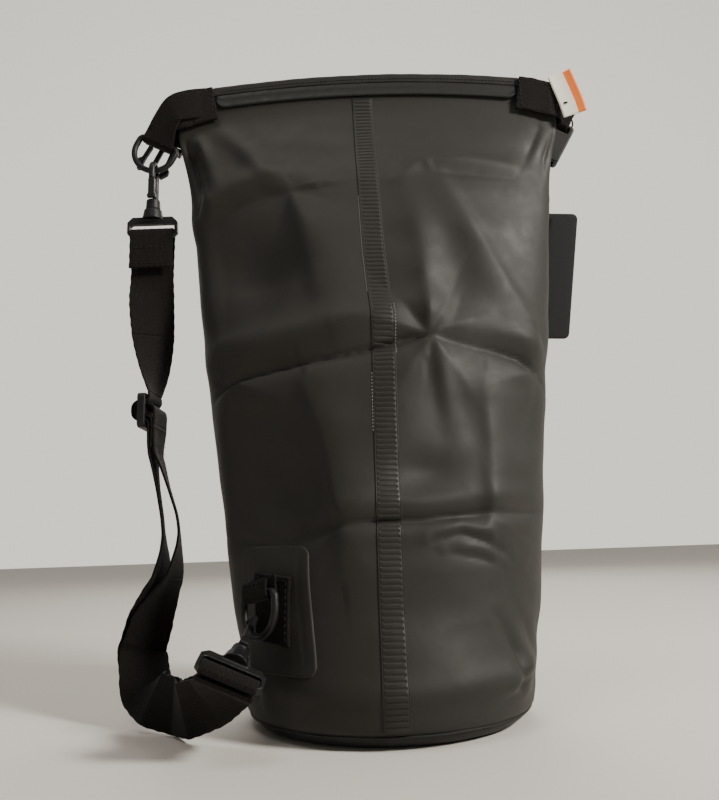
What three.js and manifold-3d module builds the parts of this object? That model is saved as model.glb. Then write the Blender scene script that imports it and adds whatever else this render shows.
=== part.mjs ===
// A roll-top dry bag: a welded fabric tube on a round base, a flat stiffened mouth with webbing ends,
// a side-release buckle half at each end, and a shoulder strap with two swivel snap hooks and a slider.
// Millimetres, +Z up. The origin is the centre of the base on the floor. -Y is the side with the seam.
import * as THREE from "three";
import { mergeVertices } from "three/addons/utils/BufferGeometryUtils.js";
import Module from "manifold-3d";

const wasm = await Module();
wasm.setup();

// ---- driving dimensions ----
const FABRIC = 1.5; // coated fabric wall
const GAP = 0.35; // clearance between touching pieces
const BASE_R = 84; // tube radius at the welded base
const BASE_EDGE_R = 14; // rounding of the bottom edge
const WELD_TOP = 27; // top of the base panel's weld flange inside the tube
const BODY_TOP = 378; // where the tube ends below the mouth's first fold
const MOUTH_HALF = 131.5; // half the flat width of the mouth
const MOUTH_LOW = 392;
const HEM_LOW = 415;
const MOUTH_TOP = 422;
const MOUTH_Y = 4; // outer half thickness of the closed mouth
const SLIT_Y = 2.5; // inner half thickness of the closed mouth
const ARCH = 10; // how much lower the mouth's ends are than its middle
const STIFF_HALF = 104; // half length of a stiffener strip
const STIFF_LOW = 404.5;
const STIFF_T = 1.7;
const SEAM_W = 15.5; // seam tape width
const TAPE_T = 0.9;
const WEB_T = 1.4; // webbing thickness
const MOUTH_WEB_W = 25; // webbing on the mouth and on the patch
const STRAP_W = 29; // shoulder strap webbing
const D_HALF = 14; // half width of a D-ring's wire centre line
const D_SIDE = 7.5; // straight sides of a D-ring
const D_WIRE = 2.1;
const HOOK_REACH = 4.9; // half width of a hook's loop, on its centre line
const HOOK_WIRE = 1.9;
const FRAME_HALF = 17; // half width of the hook's strap frame and of the slider
const SLOT_HALF = 14.9; // half width of the strap slots

// half width and half depth of the filled tube at each height
const SECTIONS = [
  [14, 84, 84],
  [28, 84, 84],
  [66, 92, 76],
  [112, 98, 70],
  [158, 103, 62],
  [208, 109.5, 54],
  [258, 115, 46],
  [300, 119, 36],
  [340, 123, 24],
  [366, 127, 13],
  [378, 129, 8.5],
];

// ---- colours ----
const COLOURS = {
  coated: { color: 0x47443f, roughness: 0.62, metalness: 0 },
  tape: { color: 0x3c3a36, roughness: 0.5, metalness: 0 },
  webbing: { color: 0x1b1714, roughness: 0.85, metalness: 0 },
  plastic: { color: 0x161513, roughness: 0.4, metalness: 0 },
  card: { color: 0x19181b, roughness: 0.55, metalness: 0 },
  ticket: { color: 0xf2ede2, roughness: 0.7, metalness: 0 },
};

// ---- small helpers ----
const vec = (x, y, z) => new THREE.Vector3(x, y, z);

function mesh(name, geometry, look) {
  const made = new THREE.Mesh(geometry, new THREE.MeshStandardMaterial(COLOURS[look]));
  made.name = name;
  return made;
}

// A closed body from its vertices and triangles, with the faces turned outwards.
function closedBody(positions, index) {
  let volume = 0;
  const p = (i) => vec(positions[3 * i], positions[3 * i + 1], positions[3 * i + 2]);
  for (let i = 0; i < index.length; i += 3) {
    volume += p(index[i]).dot(p(index[i + 1]).cross(p(index[i + 2])));
  }
  if (volume < 0) {
    index.reverse();
  }
  const geometry = new THREE.BufferGeometry();
  geometry.setAttribute("position", new THREE.Float32BufferAttribute(positions, 3));
  geometry.setIndex(index);
  return geometry;
}

// A sheet with two sides: point(u, v, side) gives the back (side 0) and the front (side 1).
// With wrap, v goes round a closed outline, so the sheet is a tube's wall.
function slab(nu, nv, point, wrap = false) {
  const columns = wrap ? nv : nv + 1;
  const at = (i, j, side) => (side * (nu + 1) + i) * columns + (j % columns);
  const positions = [];
  for (const side of [0, 1]) {
    for (let i = 0; i <= nu; i++) {
      for (let j = 0; j < columns; j++) {
        positions.push(...point(i / nu, j / nv, side).toArray());
      }
    }
  }
  const index = [];
  const quad = (a, b, c, d) => index.push(a, b, c, a, c, d);
  for (let i = 0; i < nu; i++) {
    for (let j = 0; j < nv; j++) {
      quad(at(i, j, 1), at(i + 1, j, 1), at(i + 1, j + 1, 1), at(i, j + 1, 1));
      quad(at(i, j, 0), at(i, j + 1, 0), at(i + 1, j + 1, 0), at(i + 1, j, 0));
    }
  }
  for (let j = 0; j < nv; j++) {
    quad(at(0, j, 0), at(0, j, 1), at(0, j + 1, 1), at(0, j + 1, 0));
    quad(at(nu, j, 0), at(nu, j + 1, 0), at(nu, j + 1, 1), at(nu, j, 1));
  }
  if (!wrap) {
    for (let i = 0; i < nu; i++) {
      quad(at(i, 0, 0), at(i + 1, 0, 0), at(i + 1, 0, 1), at(i, 0, 1));
      quad(at(i, nv, 0), at(i, nv, 1), at(i + 1, nv, 1), at(i + 1, nv, 0));
    }
  }
  return closedBody(positions, index);
}

// A body through a row of rings with equal numbers of points; closed joins the last ring to the first.
function loft(rings, closed = false) {
  const n = rings[0].length;
  const positions = rings.flat().flatMap((p) => p.toArray());
  const index = [];
  const spans = closed ? rings.length : rings.length - 1;
  for (let i = 0; i < spans; i++) {
    const next = ((i + 1) % rings.length) * n;
    for (let j = 0; j < n; j++) {
      const k = (j + 1) % n;
      index.push(i * n + j, i * n + k, next + k, i * n + j, next + k, next + j);
    }
  }
  if (!closed) {
    const end = (rings.length - 1) * n;
    for (let j = 1; j < n - 1; j++) {
      index.push(0, j + 1, j, end, end + j, end + j + 1);
    }
  }
  return closedBody(positions, index);
}

// A flat strip of webbing through points, each [x, y, z]; across gives the width direction at each.
function ribbon(points, across, width, thickness, fine = 1) {
  const path = new THREE.CatmullRomCurve3(points.map((p) => vec(...p)), false, "centripetal");
  const turns = new THREE.CatmullRomCurve3(across.map((p) => vec(...p)), false, "catmullrom");
  const steps = (points.length - 1) * fine;
  return slab(steps, 1, (u, v, side) => {
    const tangent = path.getPoint(Math.min(1, u + 0.5 / steps));
    tangent.sub(path.getPoint(Math.max(0, u - 0.5 / steps))).normalize();
    const wide = turns.getPoint(u);
    wide.addScaledVector(tangent, -wide.dot(tangent)).normalize();
    const normal = tangent.clone().cross(wide);
    const p = path.getPoint(u);
    return p.addScaledVector(wide, (v - 0.5) * width).addScaledVector(normal, (side - 0.5) * thickness);
  });
}

// A bar that follows a flat outline drawn in X and Z; its section is an oval with 8 sides.
function outlineBar(outline, inPlane, acrossPlane, steps, closed) {
  const points = outline.getSpacedPoints(steps);
  if (closed) {
    points.pop();
  }
  const n = points.length;
  const rings = points.map((p, i) => {
    const before = points[closed ? (i + n - 1) % n : Math.max(0, i - 1)];
    const after = points[closed ? (i + 1) % n : Math.min(n - 1, i + 1)];
    const tangent = vec(after.x - before.x, 0, after.y - before.y).normalize();
    const side = vec(tangent.z, 0, -tangent.x);
    return Array.from({ length: 8 }, (_, k) => {
      const angle = (k * Math.PI) / 4 + Math.PI / 8;
      const q = vec(p.x, acrossPlane * Math.sin(angle), p.y);
      return q.addScaledVector(side, inPlane * Math.cos(angle));
    });
  });
  return loft(rings, closed);
}

function toSolid(geometry) {
  const bare = geometry.clone();
  bare.deleteAttribute("normal");
  bare.deleteAttribute("uv");
  const merged = mergeVertices(bare, 1e-4);
  return new wasm.Manifold(
    new wasm.Mesh({
      numProp: 3,
      vertProperties: merged.attributes.position.array,
      triVerts: new Uint32Array(merged.index.array),
    }),
  );
}

function toGeometry(solid) {
  const made = solid.getMesh();
  const geometry = new THREE.BufferGeometry();
  geometry.setAttribute("position", new THREE.BufferAttribute(made.vertProperties, 3));
  geometry.setIndex(new THREE.BufferAttribute(made.triVerts, 1));
  return geometry;
}

function join(geometries) {
  return toGeometry(geometries.map(toSolid).reduce((a, b) => a.add(b)));
}

function cut(geometry, tools) {
  return toGeometry(tools.map(toSolid).reduce((a, b) => a.subtract(b), toSolid(geometry)));
}

function block(x, y, z, at = [0, 0, 0]) {
  return new THREE.BoxGeometry(x, y, z).translate(...at);
}

// A plate drawn in X and Z, centred on Y = 0.
function plate(shape, thickness, segments = 3) {
  const made = new THREE.ExtrudeGeometry(shape, {
    depth: thickness,
    bevelEnabled: false,
    curveSegments: segments,
  });
  return made.translate(0, 0, -thickness / 2).rotateX(Math.PI / 2);
}

// A rectangle with round corners, from its centre.
function roundedRect(target, x, y, halfW, halfH, r) {
  target.moveTo(x - halfW + r, y - halfH);
  target.lineTo(x + halfW - r, y - halfH);
  target.absarc(x + halfW - r, y - halfH + r, r, -Math.PI / 2, 0, false);
  target.lineTo(x + halfW, y + halfH - r);
  target.absarc(x + halfW - r, y + halfH - r, r, 0, Math.PI / 2, false);
  target.lineTo(x - halfW + r, y + halfH);
  target.absarc(x - halfW + r, y + halfH - r, r, Math.PI / 2, Math.PI, false);
  target.lineTo(x - halfW, y - halfH + r);
  target.absarc(x - halfW + r, y - halfH + r, r, Math.PI, 1.5 * Math.PI, false);
  return target;
}

// A group whose local X and Z point along the given directions.
function frameAt(position, xAxis, zAxis) {
  const z = vec(...zAxis).normalize();
  const x = vec(...xAxis);
  x.addScaledVector(z, -x.dot(z)).normalize();
  const group = new THREE.Group();
  group.position.set(...position);
  group.quaternion.setFromRotationMatrix(new THREE.Matrix4().makeBasis(x, z.clone().cross(x), z));
  return group;
}

// ---- the filled tube ----
function halfSizes(z) {
  const high = SECTIONS.findIndex((row) => row[0] >= z);
  if (high <= 0) {
    return high < 0 ? SECTIONS.at(-1).slice(1) : SECTIONS[0].slice(1);
  }
  const [z0, a0, b0] = SECTIONS[high - 1];
  const [z1, a1, b1] = SECTIONS[high];
  const t = (z - z0) / (z1 - z0);
  return [a0 + (a1 - a0) * t, b0 + (b1 - b0) * t];
}

// A point of the tube at an angle from the front, positive towards -X, pushed out by some distance.
function tubePoint(angle, z, out) {
  const [a, b] = halfSizes(z);
  return vec(-(a + out) * Math.sin(angle), -(b + out) * Math.cos(angle), z);
}

function bodyTube() {
  const low = BASE_EDGE_R + GAP;
  const heights = [low, ...SECTIONS.slice(1).map((row) => row[0])];
  heights[heights.length - 1] = BODY_TOP;
  const rows = heights.length - 1;
  const point = (u, v, side) =>
    tubePoint(v * 2 * Math.PI, heights[Math.round(u * rows)], side ? 0 : -FABRIC);
  return slab(rows, 48, point, true);
}

function basePanel() {
  const inner = BASE_R - FABRIC - GAP - FABRIC;
  const r = BASE_EDGE_R;
  const flat = BASE_R - r;
  const outline = [[0, 0]];
  for (let i = 0; i <= 5; i++) {
    const t = (i / 5) * (Math.PI / 2);
    outline.push([flat + r * Math.sin(t), r - r * Math.cos(t)]);
  }
  outline.push([inner + FABRIC, r], [inner + FABRIC, WELD_TOP], [inner, WELD_TOP]);
  for (let i = 0; i <= 4; i++) {
    const t = (i / 4) * (Math.PI / 2);
    outline.push([flat + (inner - flat) * Math.cos(t), r - (r - FABRIC) * Math.sin(t)]);
  }
  outline.push([0, FABRIC]);
  const points = outline.map(([x, z]) => new THREE.Vector2(x, z));
  return new THREE.LatheGeometry(points, 48).rotateX(Math.PI / 2);
}

// The tape welded over the closure seam, down the front.
function seamTape() {
  const low = BASE_EDGE_R + 1;
  const rows = SECTIONS.length - 1;
  return slab(rows, 1, (u, v, side) => {
    const z = u === 0 ? low : SECTIONS[Math.round(u * rows)][0];
    const p = tubePoint(0, z, GAP + side * TAPE_T);
    return p.setX((v - 0.5) * SEAM_W);
  });
}

// ---- the strap patch and its D-ring webbing ----
const PATCH_ANGLE = 0.75; // section angle of the patch centre, towards -X
const PATCH_LOW = 34;
const PATCH_HIGH = 100;
const PATCH_HALF = 25; // half width along the tube
const PATCH_R = 6;
const PATCH_T = 1.2;
const PATCH_GAP = 0.7; // the patch stands this far off the facets of the tube
const ARC_MM = 85; // millimetres of tube for each radian at the patch

// A panel on the tube round the patch's centre line, with rounded corners.
function tubePanel(half, low, high, radius, inside, thickness, turn = 0) {
  const middle = (low + high) / 2;
  const tall = (high - low) / 2;
  const stops = [-half, -half + 0.3 * radius, -half + radius, -half / 2, -half / 4, 0];
  stops.push(half / 4, half / 2, half - radius, half - 0.3 * radius, half);
  return slab(stops.length - 1, 6, (u, v, side) => {
    const s = stops[Math.round(u * (stops.length - 1))];
    const over = Math.max(0, Math.abs(s) - (half - radius));
    const reach = tall - radius + Math.sqrt(Math.max(0, radius * radius - over * over));
    const along = (v * 2 - 1) * reach;
    const z = middle + along * Math.cos(turn) - s * Math.sin(turn);
    const angle = PATCH_ANGLE - (s * Math.cos(turn) + along * Math.sin(turn)) / ARC_MM;
    return tubePoint(angle, z, inside + side * thickness);
  });
}

// ---- the mouth ----
const arched = (x, z) => z - ARCH * (x / MOUTH_HALF) ** 2;

// A flat tube round the mouth: an outline of two long sides with round ends.
function mouthRing(half, outer, inner, low, high) {
  const flat = half - outer;
  const long = 10;
  const round = 4;
  const count = 2 * (long + round);
  return slab(1, count, (u, v, side) => {
    const r = side ? outer : inner;
    const k = Math.round(v * count) % count;
    const second = k >= long + round;
    const m = second ? k - long - round : k;
    const sign = second ? 1 : -1;
    const angle = (Math.max(0, m - long) / round) * Math.PI;
    const x = m <= long ? -flat + (2 * flat * m) / long : flat + r * Math.sin(angle);
    const y = m <= long ? -r : -r * Math.cos(angle);
    return vec(-sign * x, -sign * y, arched(x, u ? high : low));
  }, true);
}

// The strip that keeps the mouth flat, with round lower corners.
function stiffener(front) {
  const high = HEM_LOW - GAP;
  const r = 6;
  const tall = high - STIFF_LOW;
  const offsets = [0, 0.3, 1, 2.2, 4, 6];
  const stops = offsets.map((d) => -STIFF_HALF + d);
  for (let i = 1; i < 8; i++) {
    stops.push(-STIFF_HALF + r + (i / 8) * 2 * (STIFF_HALF - r));
  }
  stops.push(...offsets.map((d) => STIFF_HALF - d).reverse());
  return slab(stops.length - 1, 1, (u, v, side) => {
    const x = stops[Math.round(u * (stops.length - 1))];
    const over = Math.max(0, Math.abs(x) - (STIFF_HALF - r));
    const drop = r - Math.sqrt(Math.max(0, r * r - over * over));
    const z = v ? high : high - tall + drop;
    const y = MOUTH_Y + GAP + side * STIFF_T;
    return vec(x, front ? -y : y, arched(x, z));
  });
}

// Webbing folded round one end of the mouth and sewn through it.
function endTab(sign) {
  const y = MOUTH_Y + 1 + GAP + WEB_T / 2;
  const from = STIFF_HALF + 0.5;
  const turn = MOUTH_HALF - 3;
  const path = [[from, -y], [from + 8, -y], [from + 17, -y], [turn, -y]];
  for (const t of [0.25, 0.5, 0.75]) {
    path.push([turn + y * Math.sin(t * Math.PI), -y * Math.cos(t * Math.PI)]);
  }
  path.push([turn, y], [from + 17, y], [from + 8, y], [from, y]);
  const middle = MOUTH_TOP - 1 - MOUTH_WEB_W / 2;
  const points = path.map(([x, yy]) => [sign * x, yy, arched(Math.min(x, MOUTH_HALF), middle)]);
  return ribbon(points, points.map(() => [0, 0, 1]), MOUTH_WEB_W, WEB_T);
}

// ---- hardware, each in its own frame ----
// The ring hangs from its straight bar, which lies on X at the origin.
function dRing() {
  const corner = 3;
  const path = new THREE.Path();
  path.moveTo(0, 0);
  path.lineTo(D_HALF - corner, 0);
  path.absarc(D_HALF - corner, -corner, corner, Math.PI / 2, 0, true);
  path.lineTo(D_HALF, -D_SIDE);
  path.absarc(0, -D_SIDE, D_HALF, 0, -Math.PI, true);
  path.lineTo(-D_HALF, -corner);
  path.absarc(-D_HALF + corner, -corner, corner, Math.PI, Math.PI / 2, true);
  path.lineTo(0, 0);
  return outlineBar(path, D_WIRE, D_WIRE, 40, true);
}

// Distances below the middle of the ring's wire, where the hook hangs.
const NOSE_LOW = -8;
const GATE_PIN = -21;
const STEM_TOP = -25;
const COLLAR_LOW = -29.5;

// The hook: a spine, a round top, a nose, a solid stem and a collar. Its loop lies in Y and Z.
function hookBody() {
  const path = new THREE.Path();
  path.moveTo(HOOK_REACH, STEM_TOP + 1);
  path.lineTo(HOOK_REACH, -0.6);
  path.absarc(0, -0.6, HOOK_REACH, 0, Math.PI, false);
  path.lineTo(-HOOK_REACH, NOSE_LOW);
  const wire = outlineBar(path, HOOK_WIRE, 2.3, 30, false).rotateZ(Math.PI / 2);
  const stem = new THREE.CylinderGeometry(4.6, 5, COLLAR_LOW * -1 + STEM_TOP + 2.5, 16);
  stem.rotateX(Math.PI / 2).translate(0, 0, (STEM_TOP + 2.5 + COLLAR_LOW) / 2);
  const heel = block(4.6, 3.8, 5, [0, HOOK_REACH, STEM_TOP + 2]);
  return join([wire, stem, heel]);
}

// The sprung gate closes the loop from the stem up to the nose, on the -Y side.
function hookGate() {
  const low = GATE_PIN - 1.2;
  const high = NOSE_LOW - 0.4;
  const bar = block(4.4, 3.2, high - low, [0, -HOOK_REACH, (high + low) / 2]);
  const pin = new THREE.CylinderGeometry(1.5, 1.5, 5.6, 12).rotateZ(Math.PI / 2);
  return join([bar, pin.translate(0, -HOOK_REACH, GATE_PIN)]);
}

// The base that turns under the collar, with the frame that holds the strap.
const BASE_TOP = COLLAR_LOW - 0.4;
const FRAME_TOP = -35;
const HEAD_LOW = -37;
const SLOT_TOP = -40;
const SLOT_LOW = -46;
const FRAME_LOW = -49.5;
function swivelBase() {
  const frame = new THREE.Shape();
  frame.moveTo(-14, FRAME_LOW);
  frame.lineTo(14, FRAME_LOW);
  frame.lineTo(FRAME_HALF, FRAME_LOW + 3);
  frame.lineTo(FRAME_HALF, FRAME_TOP - 3.5);
  frame.lineTo(13.5, FRAME_TOP);
  frame.lineTo(-13.5, FRAME_TOP);
  frame.lineTo(-FRAME_HALF, FRAME_TOP - 3.5);
  frame.lineTo(-FRAME_HALF, FRAME_LOW + 3);
  const slot = new THREE.Path();
  slot.moveTo(-SLOT_HALF, SLOT_LOW);
  slot.lineTo(SLOT_HALF, SLOT_LOW);
  slot.lineTo(SLOT_HALF, SLOT_TOP - 1);
  slot.lineTo(SLOT_HALF - 1.5, SLOT_TOP);
  slot.lineTo(-SLOT_HALF + 1.5, SLOT_TOP);
  slot.lineTo(-SLOT_HALF, SLOT_TOP - 1);
  frame.holes.push(slot);
  const head = new THREE.CylinderGeometry(6, 7.2, BASE_TOP - HEAD_LOW, 16);
  head.rotateX(Math.PI / 2).translate(0, 0, (BASE_TOP + HEAD_LOW) / 2);
  return join([plate(frame, 4.4), head]);
}

// The slider: three bars across, two slots, lying in Y and Z.
const SLIDER_TALL = 11;
const SLIDER_T = 5;
function sliderBody() {
  const outer = roundedRect(new THREE.Shape(), 0, 0, FRAME_HALF, SLIDER_TALL, 3);
  for (const side of [-1, 1]) {
    outer.holes.push(roundedRect(new THREE.Path(), 0, side * 5.1, SLOT_HALF, 2.9, 0.8));
  }
  return plate(outer, SLIDER_T).rotateZ(Math.PI / 2);
}

// Side-release buckle, male half: a bar end for the webbing, a plate and a centre guide.
// Webbing end at the origin, the prongs point to -Z.
const BUCKLE_HALF = 14;
function maleBuckle() {
  const frame = block(2 * BUCKLE_HALF, 4, 12, [0, 0, -5]);
  const slot = block(MOUTH_WEB_W, 6, 4.4, [0, 0, -3.2]);
  const guide = block(3.2, 2.6, 16, [0, 0, -18.5]);
  return join([cut(frame, [slot]), guide]);
}

// One springy arm with its catch, on the +X side.
const PRONG_ROOT = -11.4;
function prong(sign) {
  const arm = new THREE.Shape();
  arm.moveTo(6.8, PRONG_ROOT);
  arm.lineTo(9.6, PRONG_ROOT);
  arm.lineTo(10.2, PRONG_ROOT - 10);
  arm.lineTo(12.2, PRONG_ROOT - 12);
  arm.lineTo(12.6, PRONG_ROOT - 15);
  arm.lineTo(9.2, PRONG_ROOT - 20);
  arm.lineTo(7, PRONG_ROOT - 19);
  arm.lineTo(7.6, PRONG_ROOT - 10);
  const made = plate(arm, 3.4);
  return sign > 0 ? made : made.rotateZ(Math.PI);
}

// Female half: a flat housing, open at -Z, with side windows and a webbing bar at the top.
function femaleBuckle() {
  const shell = plate(roundedRect(new THREE.Shape(), 0, -15, 16, 15, 3), 9.4);
  const socket = block(26.4, 5, 22, [0, 0, -20.5]);
  const windows = [-1, 1].map((side) => block(8, 5, 8, [side * 15, 0, -18]));
  const slot = block(MOUTH_WEB_W, 12, 4.4, [0, 0, -4.4]);
  return cut(shell, [socket, ...windows, slot]);
}

// ---- assembling ----
const bag = new THREE.Group();

bag.add(mesh("body_tube", bodyTube(), "coated"));
bag.add(mesh("base_panel", basePanel(), "coated"));
bag.add(mesh("seam_tape", seamTape(), "tape"));

const patch = tubePanel(PATCH_HALF, PATCH_LOW, PATCH_HIGH, PATCH_R, PATCH_GAP, PATCH_T);
bag.add(mesh("strap_patch", patch, "coated"));
const tabIn = PATCH_GAP + PATCH_T + GAP;
const tab = tubePanel(MOUTH_WEB_W / 2, 49, 85, 0.5, tabIn, WEB_T, 0.12);
bag.add(mesh("patch_webbing", tab, "webbing"));

bag.add(mesh("mouth_tube", mouthRing(MOUTH_HALF, MOUTH_Y, SLIT_Y, MOUTH_LOW, HEM_LOW - GAP), "coated"));
bag.add(mesh("hem_band", mouthRing(MOUTH_HALF + 0.6, MOUTH_Y + 1, SLIT_Y, HEM_LOW, MOUTH_TOP), "coated"));
bag.add(mesh("stiffener_front", stiffener(true), "plastic"));
bag.add(mesh("stiffener_back", stiffener(false), "plastic"));
bag.add(mesh("end_tab_left", endTab(-1), "webbing"));
bag.add(mesh("end_tab_right", endTab(1), "webbing"));

// The seam tape's upper end, on the mouth below the stiffener strip.
const tapeTop = block(SEAM_W, TAPE_T, STIFF_LOW - GAP - MOUTH_LOW - 0.5);
tapeTop.translate(0, -(MOUTH_Y + GAP + TAPE_T / 2), (STIFF_LOW - GAP + MOUTH_LOW + 0.5) / 2);
bag.add(mesh("seam_tape_top", tapeTop, "tape"));

// Upper D-ring, hanging in a loop of webbing from the left end of the mouth.
const RING_UP = [-144.6, 0, 377];
const UP_DOWN = [-0.451, 0, -0.892]; // the way the loop hangs
const UP_ACROSS = [0.892, 0, -0.451];
const upperRing = frameAt(RING_UP, UP_ACROSS, UP_DOWN.map((c) => -c));
upperRing.add(mesh("upper_d_ring", dRing(), "plastic"));
bag.add(upperRing);

// The loop's two edges run from the end of the mouth to the ends of the ring's bar.
function ringWebbing() {
  const bar = vec(...RING_UP);
  const wide = vec(...UP_ACROSS);
  const down = vec(...UP_DOWN);
  const half = 11.2;
  const edges = [
    [vec(-138.4, 0, 408), bar.clone().addScaledVector(wide, -half)],
    [vec(-138.4, 0, 386), bar.clone().addScaledVector(wide, half)],
  ];
  const round = D_WIRE + GAP + WEB_T / 2;
  const stops = [];
  for (let i = 0; i <= 3; i++) {
    stops.push({ share: i / 3, drop: 0, y: -round });
  }
  for (const t of [0.25, 0.5, 0.75]) {
    stops.push({ share: 1, drop: round * Math.sin(t * Math.PI), y: -round * Math.cos(t * Math.PI) });
  }
  for (let i = 3; i >= 0; i--) {
    stops.push({ share: i / 3, drop: 0, y: round });
  }
  const count = stops.length - 1;
  return slab(count, 1, (u, v, side) => {
    const i = Math.round(u * count);
    const stop = stops[i];
    const edge = edges[v];
    const angle = i <= 3 ? 0 : i >= count - 3 ? Math.PI : ((i - 3) / (count - 6)) * Math.PI;
    const out = (side - 0.5) * WEB_T;
    const p = edge[0].clone().lerp(edge[1], stop.share);
    p.addScaledVector(down, stop.drop + out * Math.sin(angle));
    return p.add(vec(0, stop.y - out * Math.cos(angle), 0));
  });
}
bag.add(mesh("d_ring_webbing", ringWebbing(), "webbing"));

// A snap hook: the hook, its gate and its swivelling base, each hanging from the ring's wire.
function snapHook(prefix, position, hookX, baseX, up) {
  const hook = frameAt(position, hookX, up);
  hook.add(mesh(prefix + "_hook", hookBody(), "plastic"));
  hook.add(mesh(prefix + "_gate", hookGate(), "plastic"));
  const base = frameAt(position, baseX, up);
  base.add(mesh(prefix + "_swivel_base", swivelBase(), "plastic"));
  bag.add(hook, base);
}
const HANG_UP = [-148, 0, 356.3];
snapHook("upper", HANG_UP, [1, 0, 0], [1, 0, 0], [0, 0, 1]);

// Lower D-ring, on the patch, in a loop of webbing sewn to the tab.
const RING_LOW = [-68.4, -65.2, 75.2];
const LOW_ACROSS = [0.68, -0.713, 0.17];
const LOW_UP = [-0.042, 0.186, 0.981];
const lowerRing = frameAt(RING_LOW, LOW_ACROSS, LOW_UP);
lowerRing.add(mesh("lower_d_ring", dRing(), "plastic"));
const loopRound = D_WIRE + GAP + WEB_T / 2;
const loopPath = [[0, loopRound, 8]];
for (let i = 0; i <= 6; i++) {
  const t = (i / 6) * Math.PI;
  loopPath.push([0, loopRound * Math.cos(t), -loopRound * Math.sin(t)]);
}
loopPath.push([0, -loopRound, 6]);
const loopAcross = loopPath.map(() => [1, 0, 0]);
lowerRing.add(mesh("patch_loop", ribbon(loopPath, loopAcross, 22, WEB_T), "webbing"));
bag.add(lowerRing);

// The lower hook is drawn outwards by the strap and hangs on the ring's corner nearest to it.
const CONTACT = Math.PI / 4; // how far round the ring's arc, from its lowest point
const HOOK_SLACK = 4.4; // the hook's top stands this much above the slanting wire
const LOW_HOOK_UP = [0.084, 0.916, 0.391];
lowerRing.updateMatrix();
const ringArc = (angle) =>
  vec(-D_HALF * Math.sin(angle), 0, -D_SIDE - D_HALF * Math.cos(angle)).applyMatrix4(lowerRing.matrix);
const contact = ringArc(CONTACT);
const wireRun = ringArc(CONTACT + 0.05).sub(ringArc(CONTACT - 0.05));
const hangLow = contact.addScaledVector(vec(...LOW_HOOK_UP).normalize(), HOOK_SLACK).toArray();
const LOW_BASE_X = [0.91, 0.16, -0.38];
snapHook("lower", hangLow, wireRun.toArray(), LOW_BASE_X, LOW_HOOK_UP);

// Slider on the strap, edge on to the front.
const SLIDER_AT = [-148, 0, 186];
const slider = new THREE.Group();
slider.position.set(...SLIDER_AT);
slider.add(mesh("slider", sliderBody(), "plastic"));
bag.add(slider);

// ---- side-release buckle, a half on each end of the mouth ----
const MALE_AT = [-141, 11.4, 388];
const male = frameAt(MALE_AT, UP_ACROSS, UP_DOWN.map((c) => -c));
male.add(mesh("male_buckle", maleBuckle(), "plastic"));
male.add(mesh("male_prong_right", prong(1), "plastic"));
male.add(mesh("male_prong_left", prong(-1), "plastic"));

// A loop of webbing round a bar on X: half its depth, its lowest point, its legs' height and width.
function barLoop(depth, low, tall, width) {
  const side = [[depth, tall], [depth, 0.6], [depth * 0.98, low * 0.65], [depth * 0.58, low], [0, low]];
  const path = [...side, ...side.slice(0, -1).reverse().map(([y, z]) => [-y, z])];
  const points = path.map(([y, z]) => [0, y, z]);
  return ribbon(points, points.map(() => [1, 0, 0]), width, WEB_T);
}
male.add(mesh("buckle_webbing_left", barLoop(3.4, -2.9, 13, 22), "webbing"));
bag.add(male);

const FEMALE_AT = [134, 13.8, 391];
const FEMALE_UP = [0.5, 0, 0.866];
const female = frameAt(FEMALE_AT, [0.866, 0, -0.5], FEMALE_UP);
female.add(mesh("female_buckle", femaleBuckle(), "plastic"));
female.add(mesh("buckle_webbing_right", barLoop(5.9, -4.6, 10, 22), "webbing"));
bag.add(female);

// ---- shoulder strap, one length of webbing in three stretches ----
const [sx, , sz] = SLIDER_AT;
const strapOut = 2.2 + GAP + WEB_T / 2; // from a base frame's middle plane to a strap layer
const barMiddle = (SLOT_LOW + FRAME_LOW) / 2;
const X_WIDE = [1, 0, 0];
const Y_WIDE = [0, 1, 0];

// Upper stretch: sewn round the upper base's bar, then down with a quarter turn to the slider.
const upBar = HANG_UP[2] + barMiddle;
const upperPoints = [
  [-148, -strapOut, upBar - 24],
  [-148, -strapOut, upBar - 3],
  [-148, -strapOut, upBar],
  [-148, -strapOut * 0.7, upBar + 3.3],
  [-148, strapOut * 0.7, upBar + 3.3],
  [-148, strapOut, upBar],
  [-148, strapOut, upBar - 3],
  [-148, strapOut * 0.4, upBar - 30],
  [-147.5, 0, 262],
  [-146, 0, 238],
  [-144.6, 0, 214],
  [sx + 3.7, 0, sz + 12.5],
];
const quarterTurn = [[0.95, 0.3, 0], [0.8, 0.6, 0], [0.4, 0.92, 0], Y_WIDE];
const upperAcross = upperPoints.map((p, i) => (i < 8 ? X_WIDE : quarterTurn[i - 8]));
bag.add(mesh("strap_upper", ribbon(upperPoints, upperAcross, STRAP_W, WEB_T, 2), "webbing"));

// The last points of a stretch lie round the lower base's bar, given in the base's own Y and Z.
const lowBase = frameAt(hangLow, LOW_BASE_X, LOW_HOOK_UP);
lowBase.updateMatrix();
const onBase = ([y, z]) => vec(0, y, z).applyMatrix4(lowBase.matrix).toArray();
const BASE_WIDE = vec(-1, 0, 0).transformDirection(lowBase.matrix).toArray();

// A stretch of webbing; each entry is a point and the way the webbing's width lies there.
function stretch(name, entries) {
  const points = entries.map(([p]) => p);
  const across = entries.map(([, w]) => w);
  bag.add(mesh(name, ribbon(points, across, STRAP_W, WEB_T), "webbing"));
}
const atSlider = ([x, z]) => [[sx + x, 0, sz + z], Y_WIDE];
const atBase = (p) => [onBase(p), BASE_WIDE];

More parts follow.
